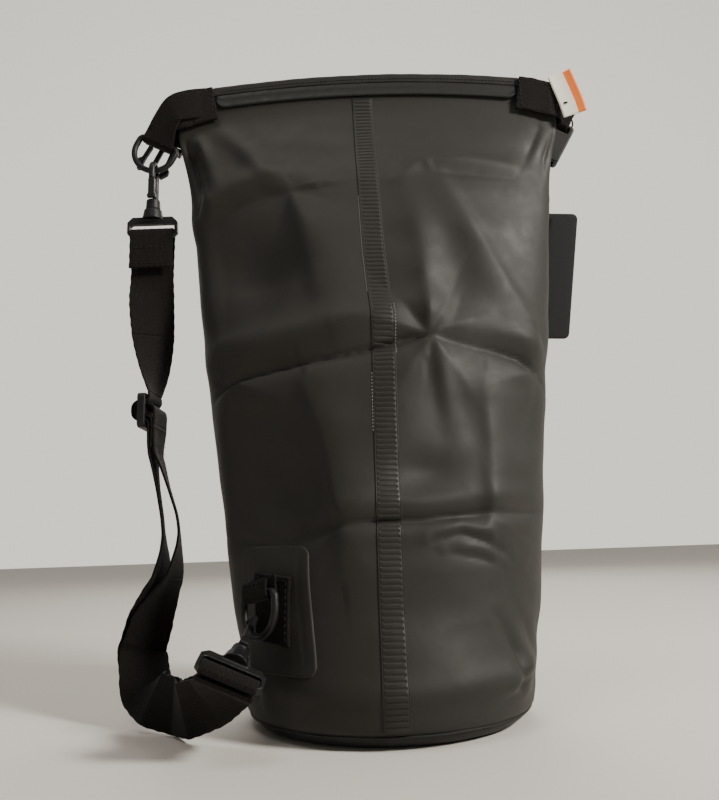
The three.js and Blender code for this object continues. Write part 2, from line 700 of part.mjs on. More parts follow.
// Between slider and base the two layers run side by side: the outer one's points with the way
// its width lies, and the distance from it to the inner one.
const RUN = [
  [[-144.5, 0, 160], [0, 1, 0], 3.5],
  [[-141.5, 2, 138], [0, 1, 0], 6],
  [[-138.5, 5, 112], [0.1, 0.99, 0], 9],
  [[-140, 8, 84], [0.35, 0.93, 0], 8],
  [[-147, 9, 60], [0.7, 0.7, 0.05], 5.5],
  [[-152, 8, 40], [0.8, 0.6, 0.05], 5],
  [[-150, 3, 26], [0.78, 0.6, 0.1], 4.4],
  [[-141.5, -9, 17.5], [0.62, 0.47, 0.6], 4],
  [[-130, -23, 15.4], [0.35, 0.2, 0.9], 3.8],
  [[-118.5, -37, 15.4], [0.05, 0, 1], 3.4],
  [[-106, -52, 18], [-0.25, 0, 0.97], 3.2],
  [[-92, -69, 25.5], [-0.65, -0.05, 0.75], 3.2],
  [onBase([13, -35]), BASE_WIDE, 3.2],
];
const RUN_STEPS = 3 * (RUN.length - 1);

// The run's points at even steps, shifted sideways by a share of the two layers' distance.
function layerRun(share) {
  const path = new THREE.CatmullRomCurve3(RUN.map(([p]) => vec(...p)), false, "centripetal");
  const turns = new THREE.CatmullRomCurve3(RUN.map(([, wide]) => vec(...wide)), false, "catmullrom");
  const gaps = new THREE.CatmullRomCurve3(RUN.map(([, , apart]) => vec(apart, 0, 0)), false, "catmullrom");
  return Array.from({ length: RUN_STEPS + 1 }, (_, i) => {
    const u = i / RUN_STEPS;
    const wide = turns.getPoint(u).normalize();
    const along = path.getPoint(Math.min(1, u + 0.01)).sub(path.getPoint(Math.max(0, u - 0.01)));
    const normal = along.cross(wide).normalize();
    const point = path.getPoint(u).addScaledVector(normal, share * gaps.getPoint(u).x);
    return [point.toArray(), wide.toArray()];
  });
}

// Outer stretch: woven through the slider, down to the floor, and round the lower base's bar.
const outerWeave = [[3.9, 12], [3.9, 8.2], [2, 6.1], [-2.6, 6.1], [-5.8, 3.2]];
const outerBack = outerWeave.slice().reverse().map(([x, z]) => [x, -z]);
const outerEnd = [[9.2, -37.9], [5.2, -40.9], [1.6, -43.3]];
outerEnd.push([-2.7, -44.6], [-3.9, -47.8], [-2.7, -50.9], [-0.4, -51.8]);
stretch("strap_outer", [
  ...[...outerWeave, ...outerBack].map(atSlider),
  ...layerRun(0),
  ...outerEnd.map(atBase),
]);

// Inner stretch: sewn round the slider's middle bar, then beside the outer one to the same bar.
const innerSewn = [[5.7, -24], [5.7, -6], [4.2, -3.9], [-2.2, -4.2], [-4.1, -2]];
const innerLoop = [[-4.1, 2], [-2.2, 4.2], [4.2, 3.7], [6.4, 2.8], [7.4, 0.6], [7.4, -9]];
const innerEnd = [[11.6, -40.6], [8.8, -44], [6.4, -48.4], [3.9, -51.3], [1.6, -51.8]];
stretch("strap_inner", [
  ...[...innerSewn, ...innerLoop].map(atSlider),
  ...layerRun(1),
  ...innerEnd.map(atBase),
]);

// ---- blank tags ----
const CARD_HALF = 26;
const CARD_TALL = 90;
const CARD_T = 0.8;
const CARD_HOLE = 5; // the hole's distance from the top edge
const card = frameAt([121.2, 42.5, 285.2], [0.998, 0.05, 0], [0.0457, -0.39, 0.92]);
const cardShape = roundedRect(new THREE.Shape(), 0, 0, CARD_HALF, CARD_TALL / 2, 4);
const holeAt = CARD_TALL / 2 - CARD_HOLE;
cardShape.holes.push(new THREE.Path().absarc(0, holeAt, 2.2, 0, 2 * Math.PI, false));
card.add(mesh("swing_tag", plate(cardShape, CARD_T, 5), "card"));
bag.add(card);

// A closed round cord of small radius through points.
function closedCord(points, radius, steps) {
  const curve = new THREE.CatmullRomCurve3(points, true, "centripetal");
  const frames = curve.computeFrenetFrames(steps, true);
  const rings = Array.from({ length: steps }, (_, i) => {
    const p = curve.getPointAt(i / steps);
    return Array.from({ length: 6 }, (_, k) => {
      const angle = (k * Math.PI) / 3;
      const q = p.clone().addScaledVector(frames.normals[i], radius * Math.cos(angle));
      return q.addScaledVector(frames.binormals[i], radius * Math.sin(angle));
    });
  });
  return loft(rings, true);
}

// The tag's loop passes through the card and round the right buckle's webbing.
female.updateMatrix();
card.updateMatrix();
const onCard = (x, y, z) => vec(x, y, z).applyMatrix4(card.matrix);
const onFemale = (x, y, z) => vec(x, y, z).applyMatrix4(female.matrix);
const loopPoints = [
  onCard(0, 0, holeAt),
  onCard(-1.5, 2.4, holeAt + 4),
  onCard(-4, 1, holeAt + 14),
  onFemale(-18, 4, -26),
  onFemale(-16, 0, 3),
  onFemale(-8, 0, 6),
  onFemale(8, 0, 6),
  onFemale(16, 0, 3),
  onFemale(18, 4, -26),
  onCard(4, -1, holeAt + 14),
  onCard(1.5, -2.4, holeAt + 4),
];
bag.add(mesh("tag_loop", closedCord(loopPoints, 0.6, 70), "plastic"));

const ticketPoints = [[148.5, 2.6, 393.6], [146, 4.2, 402], [142.4, 5, 411], [137, 3.6, 426]];
const ticketWide = ticketPoints.map(() => [0.6, 0.78, 0.2]);
const ticket = ribbon(ticketPoints, ticketWide, 19, 0.5, 2);
bag.add(mesh("price_ticket", ticket, "ticket"));
const barb = new THREE.CylinderGeometry(0.6, 0.6, 7, 8).rotateZ(Math.PI / 2);
const barbAt = new THREE.Group();
barbAt.position.set(139.6, 5.9, 394.6);
barbAt.rotation.set(0, 0, 0.1);
barbAt.add(mesh("ticket_barb", barb, "plastic"));
bag.add(barbAt);

export default bag;
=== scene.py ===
"""A roll-top dry bag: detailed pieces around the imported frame. Lengths below are in millimetres."""
import math

import bpy
import numpy as np
from mathutils import Matrix, Vector


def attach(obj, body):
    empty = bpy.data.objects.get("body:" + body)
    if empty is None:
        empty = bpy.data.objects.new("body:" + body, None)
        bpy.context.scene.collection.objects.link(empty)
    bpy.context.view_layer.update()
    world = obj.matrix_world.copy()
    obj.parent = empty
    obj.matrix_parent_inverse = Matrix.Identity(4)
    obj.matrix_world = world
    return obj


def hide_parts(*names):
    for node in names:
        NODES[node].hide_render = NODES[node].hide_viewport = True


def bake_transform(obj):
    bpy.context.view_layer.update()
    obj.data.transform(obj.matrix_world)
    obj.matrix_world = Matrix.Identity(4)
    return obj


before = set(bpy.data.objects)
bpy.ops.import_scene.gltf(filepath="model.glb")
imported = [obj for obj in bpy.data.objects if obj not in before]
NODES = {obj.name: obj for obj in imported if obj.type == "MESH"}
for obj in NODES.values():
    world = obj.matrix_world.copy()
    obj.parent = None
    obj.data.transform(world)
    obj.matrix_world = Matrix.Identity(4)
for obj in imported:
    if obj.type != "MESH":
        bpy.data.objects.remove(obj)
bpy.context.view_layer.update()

MM = 0.001

# ------------------------------------------------------------------ camera
PITCH, ROLL = math.radians(11.2), math.radians(2)
CAMERA_AT = Vector((-12, -456, 100))
LENS, SENSOR = 32.44, 36
camera = bpy.data.objects.new("camera", bpy.data.cameras.new("camera"))
bpy.context.scene.collection.objects.link(camera)
right = Vector((1, 0, 0))
up = Vector((0, -math.sin(PITCH), math.cos(PITCH)))
ahead = Vector((0, math.cos(PITCH), math.sin(PITCH)))
cam_x = right * math.cos(ROLL) - up * math.sin(ROLL)
cam_y = right * math.sin(ROLL) + up * math.cos(ROLL)
turned = Matrix((cam_x, cam_y, -ahead)).transposed().to_4x4()
turned.translation = CAMERA_AT * MM
camera.matrix_world = turned
camera.data.lens = LENS
camera.data.sensor_width = SENSOR
camera.data.clip_start = 0.01
bpy.context.scene.camera = camera

# ------------------------------------------------------------------ materials


class Look:
    """One node material, with short calls for its nodes."""

    def __init__(self, name, slot, base, rough, specular):
        self.mat = bpy.data.materials.new(name)
        self.mat.use_nodes = True
        self.tree = self.mat.node_tree
        self.shader = self.tree.nodes["Principled BSDF"]
        self.shader.inputs["Base Color"].default_value = (*base, 1)
        self.shader.inputs["Roughness"].default_value = rough
        self.shader.inputs["Specular IOR Level"].default_value = specular
        self.base = base
        self.slot = slot
        self.height = None

    def node(self, kind, inputs=(), **settings):
        made = self.tree.nodes.new("ShaderNode" + kind)
        for key, value in settings.items():
            setattr(made, key, value)
        for key, value in dict(inputs).items():
            if isinstance(value, bpy.types.NodeSocket):
                self.tree.links.new(value, made.inputs[key])
            else:
                made.inputs[key].default_value = value
        return made

    def space(self, scale, uv=False):
        """Object (or UV) coordinates times a scale, for patterns with sizes in metres."""
        source = self.node("TexCoord").outputs["UV" if uv else "Object"]
        if isinstance(scale, (int, float)):
            scale = (scale,) * 3
        return self.node("Mapping", {"Vector": source, "Scale": scale}).outputs["Vector"]

    def noise(self, scale, detail=4.0, rough=0.55, where=None):
        spot = where if where is not None else self.space(1)
        inputs = {"Vector": spot, "Scale": scale, "Detail": detail, "Roughness": rough}
        return self.node("TexNoise", inputs).outputs["Fac"]

    def ramp(self, value, low, high, out_low=0.0, out_high=1.0):
        inputs = {"Value": value, "From Min": low, "From Max": high, "To Min": out_low}
        return self.node("MapRange", {**inputs, "To Max": out_high}).outputs["Result"]

    def math(self, how, a, b=0.0):
        return self.node("Math", {0: a, 1: b}, operation=how).outputs[0]

    def colour(self, fac, *stops):
        made = self.node("ValToRGB", {"Fac": fac})
        ramp = made.color_ramp
        while len(ramp.elements) < len(stops):
            ramp.elements.new(0.5)
        for element, (place, rgb) in zip(ramp.elements, stops):
            element.position = place
            element.color = (*rgb, 1)
        self.tree.links.new(made.outputs["Color"], self.shader.inputs["Base Color"])

    def shade(self, fac, low=0.8, high=1.2):
        """The base colour, darker and lighter with fac."""
        stops = [(0, tuple(c * low for c in self.base)), (1, tuple(c * high for c in self.base))]
        self.colour(fac, *stops)

    def rough(self, fac, low, high):
        made = self.ramp(fac, 0.3, 0.7, low, high)
        self.tree.links.new(made, self.shader.inputs["Roughness"])

    def bump(self, height, distance, strength=1.0):
        inputs = {"Height": height, "Distance": distance, "Strength": strength}
        if self.height is not None:
            inputs["Normal"] = self.height
        self.height = self.node("Bump", inputs).outputs["Normal"]
        self.tree.links.new(self.height, self.shader.inputs["Normal"])


def coated_look(name, slot, base, rough):
    look = Look(name, slot, base, rough[0], 0.3)
    large = look.noise(14, 3)
    look.shade(look.math("ADD", look.math("MULTIPLY", large, 0.7), 0.15), 0.84, 1.16)
    look.rough(look.noise(60, 5), *rough)
    look.bump(look.noise(160, 4), 0.00035, 0.35)
    look.bump(look.noise(2600, 3, 0.7), 0.00006, 0.7)
    look.shader.inputs["Sheen Weight"].default_value = 0.03
    look.shader.inputs["Sheen Roughness"].default_value = 0.5
    return look


def webbing_look(name, slot, base):
    """Woven webbing; UV holds millimetres across (U) and along (V), as metres."""
    look = Look(name, slot, base, 0.85, 0.12)
    where = look.space((1, 1, 1), uv=True)
    turned = look.node("Mapping", {"Vector": where, "Rotation": (0, 0, math.pi / 2)})
    inputs = {"Vector": turned.outputs["Vector"], "Scale": 1000.0, "Mortar Size": 0.16,
              "Mortar Smooth": 1.0, "Brick Width": 3.0, "Row Height": 1.5,
              "Color1": (1, 1, 1, 1), "Color2": (0.75, 0.75, 0.75, 1), "Mortar": (0, 0, 0, 1)}
    weave = look.node("TexBrick", inputs).outputs["Color"]
    fuzz = look.noise(1800, 4, 0.75)
    mixed = look.math("ADD", look.math("MULTIPLY", weave, 0.75), look.math("MULTIPLY", fuzz, 0.35))
    look.shade(mixed, 0.2, 1.6)
    look.bump(weave, 0.0004, 1.0)
    look.bump(fuzz, 0.00015, 0.6)
    look.shader.inputs["Sheen Weight"].default_value = 0.05
    look.shader.inputs["Sheen Roughness"].default_value = 0.4
    return look


def plastic_look(name, slot, base, rough, grain=0.0001):
    look = Look(name, slot, base, rough, 0.35)
    look.shade(look.noise(90, 4), 0.85, 1.15)
    look.rough(look.noise(220, 4), rough - 0.06, rough + 0.1)
    look.bump(look.noise(2200, 2, 0.6), grain, 0.4)
    return look


FABRIC = coated_look("coated_fabric", "coated_fabric", (0.0155, 0.0145, 0.0125), (0.55, 0.66))
TAPE = coated_look("seam_tape", "seam_tape", (0.0145, 0.0135, 0.0117), (0.48, 0.58))
# the base's darker colour is painted shade: the same coated fabric, darkened for the shadow under the
# bag's belly
SHADED_BASE = coated_look("coated_base_painted_shade", "coated_fabric", (0.006, 0.0056, 0.005), (0.6, 0.7))
HEM = coated_look("hem_fabric", "coated_fabric", (0.0075, 0.0071, 0.0063), (0.6, 0.7))
WEBBING = webbing_look("webbing", "webbing", (0.0062, 0.0051, 0.0045))
PLASTIC = plastic_look("moulded_plastic", "black_plastic", (0.0042, 0.0041, 0.004), 0.5)
STRIP = plastic_look("stiffener_plastic", "black_plastic", (0.0052, 0.005, 0.0046), 0.6, 0.0002)
THREAD = plastic_look("thread", "webbing", (0.0085, 0.0072, 0.0065), 0.7)
CLEAR = plastic_look("tag_loop", "black_plastic", (0.004, 0.004, 0.004), 0.5)
# pale colour of the seam beads: painted highlight, the glints on the tape's glossy edges
GLINT_DOTS = plastic_look("seam_glint_dots", "seam_tape", (0.3, 0.29, 0.26), 0.3)
CARD = plastic_look("card", "card", (0.0048, 0.005, 0.0068), 0.5, 0.00005)


def ticket_look():
    look = Look("ticket_paper", "ticket_paper", (0.86, 0.83, 0.75), 0.6, 0.3)
    across = look.node("SeparateXYZ", {"Vector": look.space(1, uv=True)}).outputs["X"]
    stripe = look.math("GREATER_THAN", across, 0.0105)
    look.colour(stripe, (0, (0.86, 0.83, 0.75)), (1, (0.83, 0.2, 0.035)))
    look.bump(look.noise(900, 4), 0.0001, 0.3)
    return look


TICKET = ticket_look()

# ------------------------------------------------------------------ mesh helpers


def piece(name, verts, faces, look, body, *nodes, uv=None):
    """A mesh piece from points in millimetres; uv gives one pair in metres for each vertex."""
    data = bpy.data.meshes.new(name)
    data.from_pydata([tuple(float(c) * MM for c in v) for v in verts], [], faces)
    data.validate()
    if uv is not None:
        layer = data.uv_layers.new(name="UVMap")
        index = np.empty(len(data.loops), dtype=np.int32)
        data.loops.foreach_get("vertex_index", index)
        layer.data.foreach_set("uv", np.asarray(uv, dtype=np.float32)[index].ravel())
    data.materials.append(look.mat)
    data.polygons.foreach_set("use_smooth", [True] * len(data.polygons))
    obj = bpy.data.objects.new(name, data)
    bpy.context.scene.collection.objects.link(obj)
    if body:
        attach(obj, body)
    if nodes:
        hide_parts(*nodes)
    return obj


def apply_modifiers(obj):
    deps = bpy.context.evaluated_depsgraph_get()
    baked = bpy.data.meshes.new_from_object(obj.evaluated_get(deps))
    old = obj.data
    obj.modifiers.clear()
    obj.data = baked
    bpy.data.meshes.remove(old)
    baked.polygons.foreach_set("use_smooth", [True] * len(baked.polygons))
    baked.update()


def grid_faces(rows, columns, wrap=False, offset=0):
    """Quads of a grid of points; with wrap the last column joins the first."""
    spans = columns if wrap else columns - 1
    faces = []
    for i in range(rows - 1):
        for j in range(spans):
            k = (j + 1) % columns
            faces.append((offset + i * columns + j, offset + i * columns + k,
                          offset + (i + 1) * columns + k, offset + (i + 1) * columns + j))
    return faces


def capped_sweep(rows, columns, offset=0):
    """Faces of a closed section swept along a line, with both ends closed."""
    first = offset + np.arange(columns)
    last = first + (rows - 1) * columns
    ends = [tuple(int(i) for i in first[::-1]), tuple(int(i) for i in last)]
    return grid_faces(rows, columns, wrap=True, offset=offset) + ends


def slab(top, under):
    """Points and faces of the closed slab between two grids of points."""
    n, m = top.shape[:2]
    verts = np.concatenate([top.reshape(-1, 3), under.reshape(-1, 3)])
    faces = grid_faces(n, m)
    faces += [tuple(q + n * m for q in f[::-1]) for f in grid_faces(n, m)]
    rim = list(range(m)) + [i * m + m - 1 for i in range(1, n)]
    rim += [(n - 1) * m + j for j in range(m - 2, -1, -1)] + [i * m for i in range(n - 2, 0, -1)]
    faces += [(b, a, a + n * m, b + n * m) for a, b in zip(rim, rim[1:] + rim[:1])]
    return verts, faces


def smoothstep(low, high, value):
    t = np.clip((value - low) / (high - low), 0, 1)
    return t * t * (3 - 2 * t)


def catmull(points, samples):
    """Centripetal Catmull-Rom through the points, like the CAD's; returns the sampled points."""
    p = [np.array(q, float) for q in points]
    p = [2 * p[0] - p[1]] + p + [2 * p[-1] - p[-2]]
    out = []
    spans = len(points) - 1
    for s in np.linspace(0, spans, samples):
        i = min(int(s), spans - 1)
        t = s - i
        p0, p1, p2, p3 = p[i:i + 4]
        d0 = max(np.linalg.norm(p1 - p0), 1e-6) ** 0.5
        d1 = max(np.linalg.norm(p2 - p1), 1e-6) ** 0.5
        d2 = max(np.linalg.norm(p3 - p2), 1e-6) ** 0.5
        m1 = ((p1 - p0) / d0 - (p2 - p0) / (d0 + d1) + (p2 - p1) / d1) * d1
        m2 = ((p2 - p1) / d1 - (p3 - p1) / (d1 + d2) + (p3 - p2) / d2) * d1
        a = 2 * p1 - 2 * p2 + m1 + m2
        b = -3 * p1 + 3 * p2 - 2 * m1 - m2
        out.append(((a * t + b) * t + m1) * t + p1)
    return np.array(out)


def unit(v):
    return v / np.maximum(np.linalg.norm(v, axis=-1, keepdims=True), 1e-9)


WEB_T = 1.4


def section_outline(width, thickness, ribs=0.12):
    """The closed cross-section of webbing: across and out, with soft edges and faint long ribs."""
    half, r = width / 2, thickness / 2
    flat = np.linspace(-(half - r), half - r, 13)
    bow = ribs * (np.arange(13) % 2)
    top = [(x, r - b) for x, b in zip(flat, bow)]
    ends = [(math.cos(t), math.sin(t)) for t in (math.pi / 4, 0, -math.pi / 4)]
    right_end = [(half - r + r * c, r * s) for c, s in ends]
    low = [(x, -r + b) for x, b in zip(flat[::-1], bow)]
    left_end = [(-(half - r) - r * c, -r * s) for c, s in ends]
    return np.array(top + right_end + low + left_end)


def ribbon(name, centre, wide, width, body, *nodes, wave=0.0):
    """Webbing through sampled centre points; wide is its width direction at each."""
    centre = np.asarray(centre, float)
    along = unit(np.gradient(centre, axis=0))
    wide = np.asarray(wide, float)
    wide = unit(wide - (wide * along).sum(1, keepdims=True) * along)
    normal = np.cross(along, wide)
    widths = np.broadcast_to(np.asarray(width, float), (len(centre),))
    width = float(widths.max())
    outline = section_outline(width, WEB_T)
    shares = widths / width
    run = np.concatenate([[0], np.cumsum(np.linalg.norm(np.diff(centre, axis=0), axis=1))])
    verts, uv = [], []
    for i, c in enumerate(centre):
        edge = shares[i] * (1 + wave * math.sin(run[i] * 0.9) * 0.01)
        for a, o in outline:
            verts.append(c + wide[i] * a * edge + normal[i] * o)
            uv.append(((a + width / 2) * MM, run[i] * MM))
    return piece(name, verts, capped_sweep(len(centre), len(outline)), WEBBING, body, *nodes, uv=uv)


def tube(name, points, radius, look, body, *nodes, sides=8, taper=False):
    """A thin round thread or cord through points."""
    points = np.asarray(points, float)
    along = unit(np.gradient(points, axis=0))
    side = np.cross(along, [0.3, 0.5, 0.8])
    side = unit(side)
    other = np.cross(along, side)
    verts = []
    for i, p in enumerate(points):
        r = radius * (1 - 0.75 * i / (len(points) - 1)) if taper else radius
        for k in range(sides):
            t = 2 * math.pi * k / sides
            verts.append(p + r * (math.cos(t) * side[i] + math.sin(t) * other[i]))
    return piece(name, verts, capped_sweep(len(points), sides), look, body, *nodes)


def joined(name, parts):
    """Several meshes as one object, which keeps the first one's body."""
    keep = parts[0]
    with bpy.context.temp_override(active_object=keep, selected_editable_objects=parts,
                                   selected_objects=parts):
        bpy.ops.object.join()
    keep.name = name
    keep.data.name = name
    return keep


def stitches(name, lines, body, out, length=2.2, pitch=3.2, radius=0.28, look=THREAD):
    """Raised stitches along lines of points; out lifts them off the cloth, one vector per line."""
    verts, faces = [], []
    for line, lift in zip(lines, out):
        line = np.asarray(line, float)
        step = np.linalg.norm(np.diff(line, axis=0), axis=1)
        run = np.concatenate([[0], np.cumsum(step)])
        count = max(1, int(run[-1] / pitch))
        for s in range(count):
            start = (s + 0.15) * run[-1] / count
            places = np.linspace(start, start + length * min(1, run[-1] / count / pitch), 5)
            pts = np.stack([np.interp(places, run, line[:, k]) for k in range(3)], axis=1)
            heading = unit(pts[-1] - pts[0])
            lifted = np.asarray(lift, float)
            side = unit(np.cross(heading, lifted))
            base = len(verts)
            for i, p in enumerate(pts):
                grow = (0.35, 0.9, 1.0, 0.9, 0.35)[i]
                for k in range(6):
                    t = 2 * math.pi * k / 6
                    offset = side * math.cos(t) + lifted * (math.sin(t) + 0.35)
                    verts.append(p + radius * grow * offset)
            faces += capped_sweep(5, 6, base)
    return piece(name, verts, faces, look, body)


VOXEL, SOFT_ROUNDS = 0.45, 3  # millimetres, and turns of smoothing


def moulded(node, look, body):
    """A hard CAD piece as a moulding: the same shape with soft edges."""
    source = NODES[node]
    copy = bpy.data.objects.new(node + "_moulded", source.data.copy())
    bpy.context.scene.collection.objects.link(copy)
    copy.matrix_world = source.matrix_world
    remesh = copy.modifiers.new("remesh", "REMESH")
    remesh.mode = "VOXEL"
    remesh.voxel_size = VOXEL * MM
    smooth = copy.modifiers.new("smooth", "SMOOTH")
    smooth.factor = 0.5
    smooth.iterations = SOFT_ROUNDS
    apply_modifiers(copy)
    copy.data.materials.clear()
    copy.data.materials.append(look.mat)
    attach(copy, body)
    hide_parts(node)


# ------------------------------------------------------------------ the bag's surface

# height, half width, half depth of the filled tube
SECTIONS = np.array([
    (0, 78, 78), (7, 82.6, 82.6), (14, 84.4, 84.4), (28, 85.2, 84.8), (66, 92, 76),
    (112, 98, 70), (158, 103, 62), (208, 109.5, 54), (258, 115, 46), (300, 119, 36),
    (340, 123, 24), (366, 127, 13.5),
    (378, 129, 9), (392, 130.6, 5), (402, 131.2, 4.2), (424, 131.4, 4.2)], float)
ARCH = 10
MOUTH_HALF = 131.5


def section(z):
    """Half width and half depth at heights z, smooth between the table's rows."""
    zs = SECTIONS[:, 0]
    out = []
    for k in (1, 2):
        v = SECTIONS[:, k]
        slope = np.gradient(v, zs)
        i = np.clip(np.searchsorted(zs, z) - 1, 0, len(zs) - 2)
        h = zs[i + 1] - zs[i]
        t = np.clip((z - zs[i]) / h, 0, 1)
        secant = (v[i + 1] - v[i]) / h
        limit = 3 * np.abs(secant)
        m0 = np.clip(slope[i], -limit, limit)
        m1 = np.clip(slope[i + 1], -limit, limit)
        out.append((2 * t**3 - 3 * t**2 + 1) * v[i] + (t**3 - 2 * t**2 + t) * h * m0
                   + (-2 * t**3 + 3 * t**2) * v[i + 1] + (t**3 - t**2) * h * m1)
    return out


def end_droop(x):
    """The mouth's ends sag a little more than its arch."""
    return 3.5 * smoothstep(106, 134, np.abs(x))


def plain_surface(angle, z):
    """The bag without creases; angle 0 faces -Y and grows towards +X."""
    a, b = section(z)
    flat = smoothstep(352, 396, z)
    c = np.cos(angle)
    x = a * np.sin(angle)
    y = -b * np.sign(c) * np.abs(c) ** (1 - 0.8 * flat)
    drop = (ARCH * (x / MOUTH_HALF) ** 2 + end_droop(x)) * smoothstep(330, 396, z)
    return np.stack([x, y, z - drop], axis=-1)


def plain_normal(angle, z):
    e = 1e-3
    da = plain_surface(angle + e, z) - plain_surface(angle - e, z)
    dz = plain_surface(angle, z + 0.2) - plain_surface(angle, z - 0.2)
    return unit(np.cross(da, dz))


def to_line(line, x, z):
    """Signed distance to a crease line (positive above it) and the crease's strength there."""
    best = np.full(x.shape, 1e9)
    signed = np.zeros(x.shape)
    force = np.zeros(x.shape)
    for (x0, z0, w0), (x1, z1, w1) in zip(line, line[1:]):
        dx, dz = x1 - x0, z1 - z0
        size = math.hypot(dx, dz)
        t = ((x - x0) * dx + (z - z0) * dz) / size**2
        inside = np.clip(t, 0, 1)
        away = np.hypot(x - x0 - inside * dx, z - z0 - inside * dz)
        side = np.where(dx * (z - z0) - dz * (x - x0) >= 0, 1.0, -1.0)
        nearer = away < best
        best = np.where(nearer, away, best)
        signed = np.where(nearer, side * away, signed)
        force = np.where(nearer, w0 + (w1 - w0) * inside, force)
    return signed, force


def crease(line, depth, sharp, above=(0, 1, 1), below=(0, 1, 1)):
    """A valley with a swelling above and one below, each (height, distance, width)."""
    def at(x, z):
        d, force = to_line(line, x, z)
        out = -depth * np.exp(-np.abs(d) / sharp)
        for (high, where, width), sign in ((above, 1), (below, -1)):
            out = out + high * np.exp(-((d - sign * where) / width) ** 2)
        return out * force
    return at


def ridge(line, high, width, lean=0.0):
    def at(x, z):
        d, force = to_line(line, x, z)
        stretch = np.where(d > 0, 1 + lean, 1 - lean) * width
        return high * np.exp(-(d / stretch) ** 2) * force
    return at


def star(x0, z0, reach, *spokes):
    """Facets that fan out from one point: spokes are (degrees from +X, slope), up or down."""
    turns = np.radians([a for a, _ in spokes])
    slopes = np.array([h for _, h in spokes])

    def at(x, z):
        r = np.hypot(x - x0, z - z0)
        turn = np.mod(np.arctan2(z - z0, x - x0), 2 * math.pi)
        slope = np.interp(turn, turns, slopes, period=2 * math.pi)
        return slope * r * r / (r + 2.0) * np.exp(-r / reach)
    return at


def dent(x0, z0, half_x, half_z, depth):
    return lambda x, z: -depth * np.exp(-((x - x0) / half_x) ** 2 - ((z - z0) / half_z) ** 2)


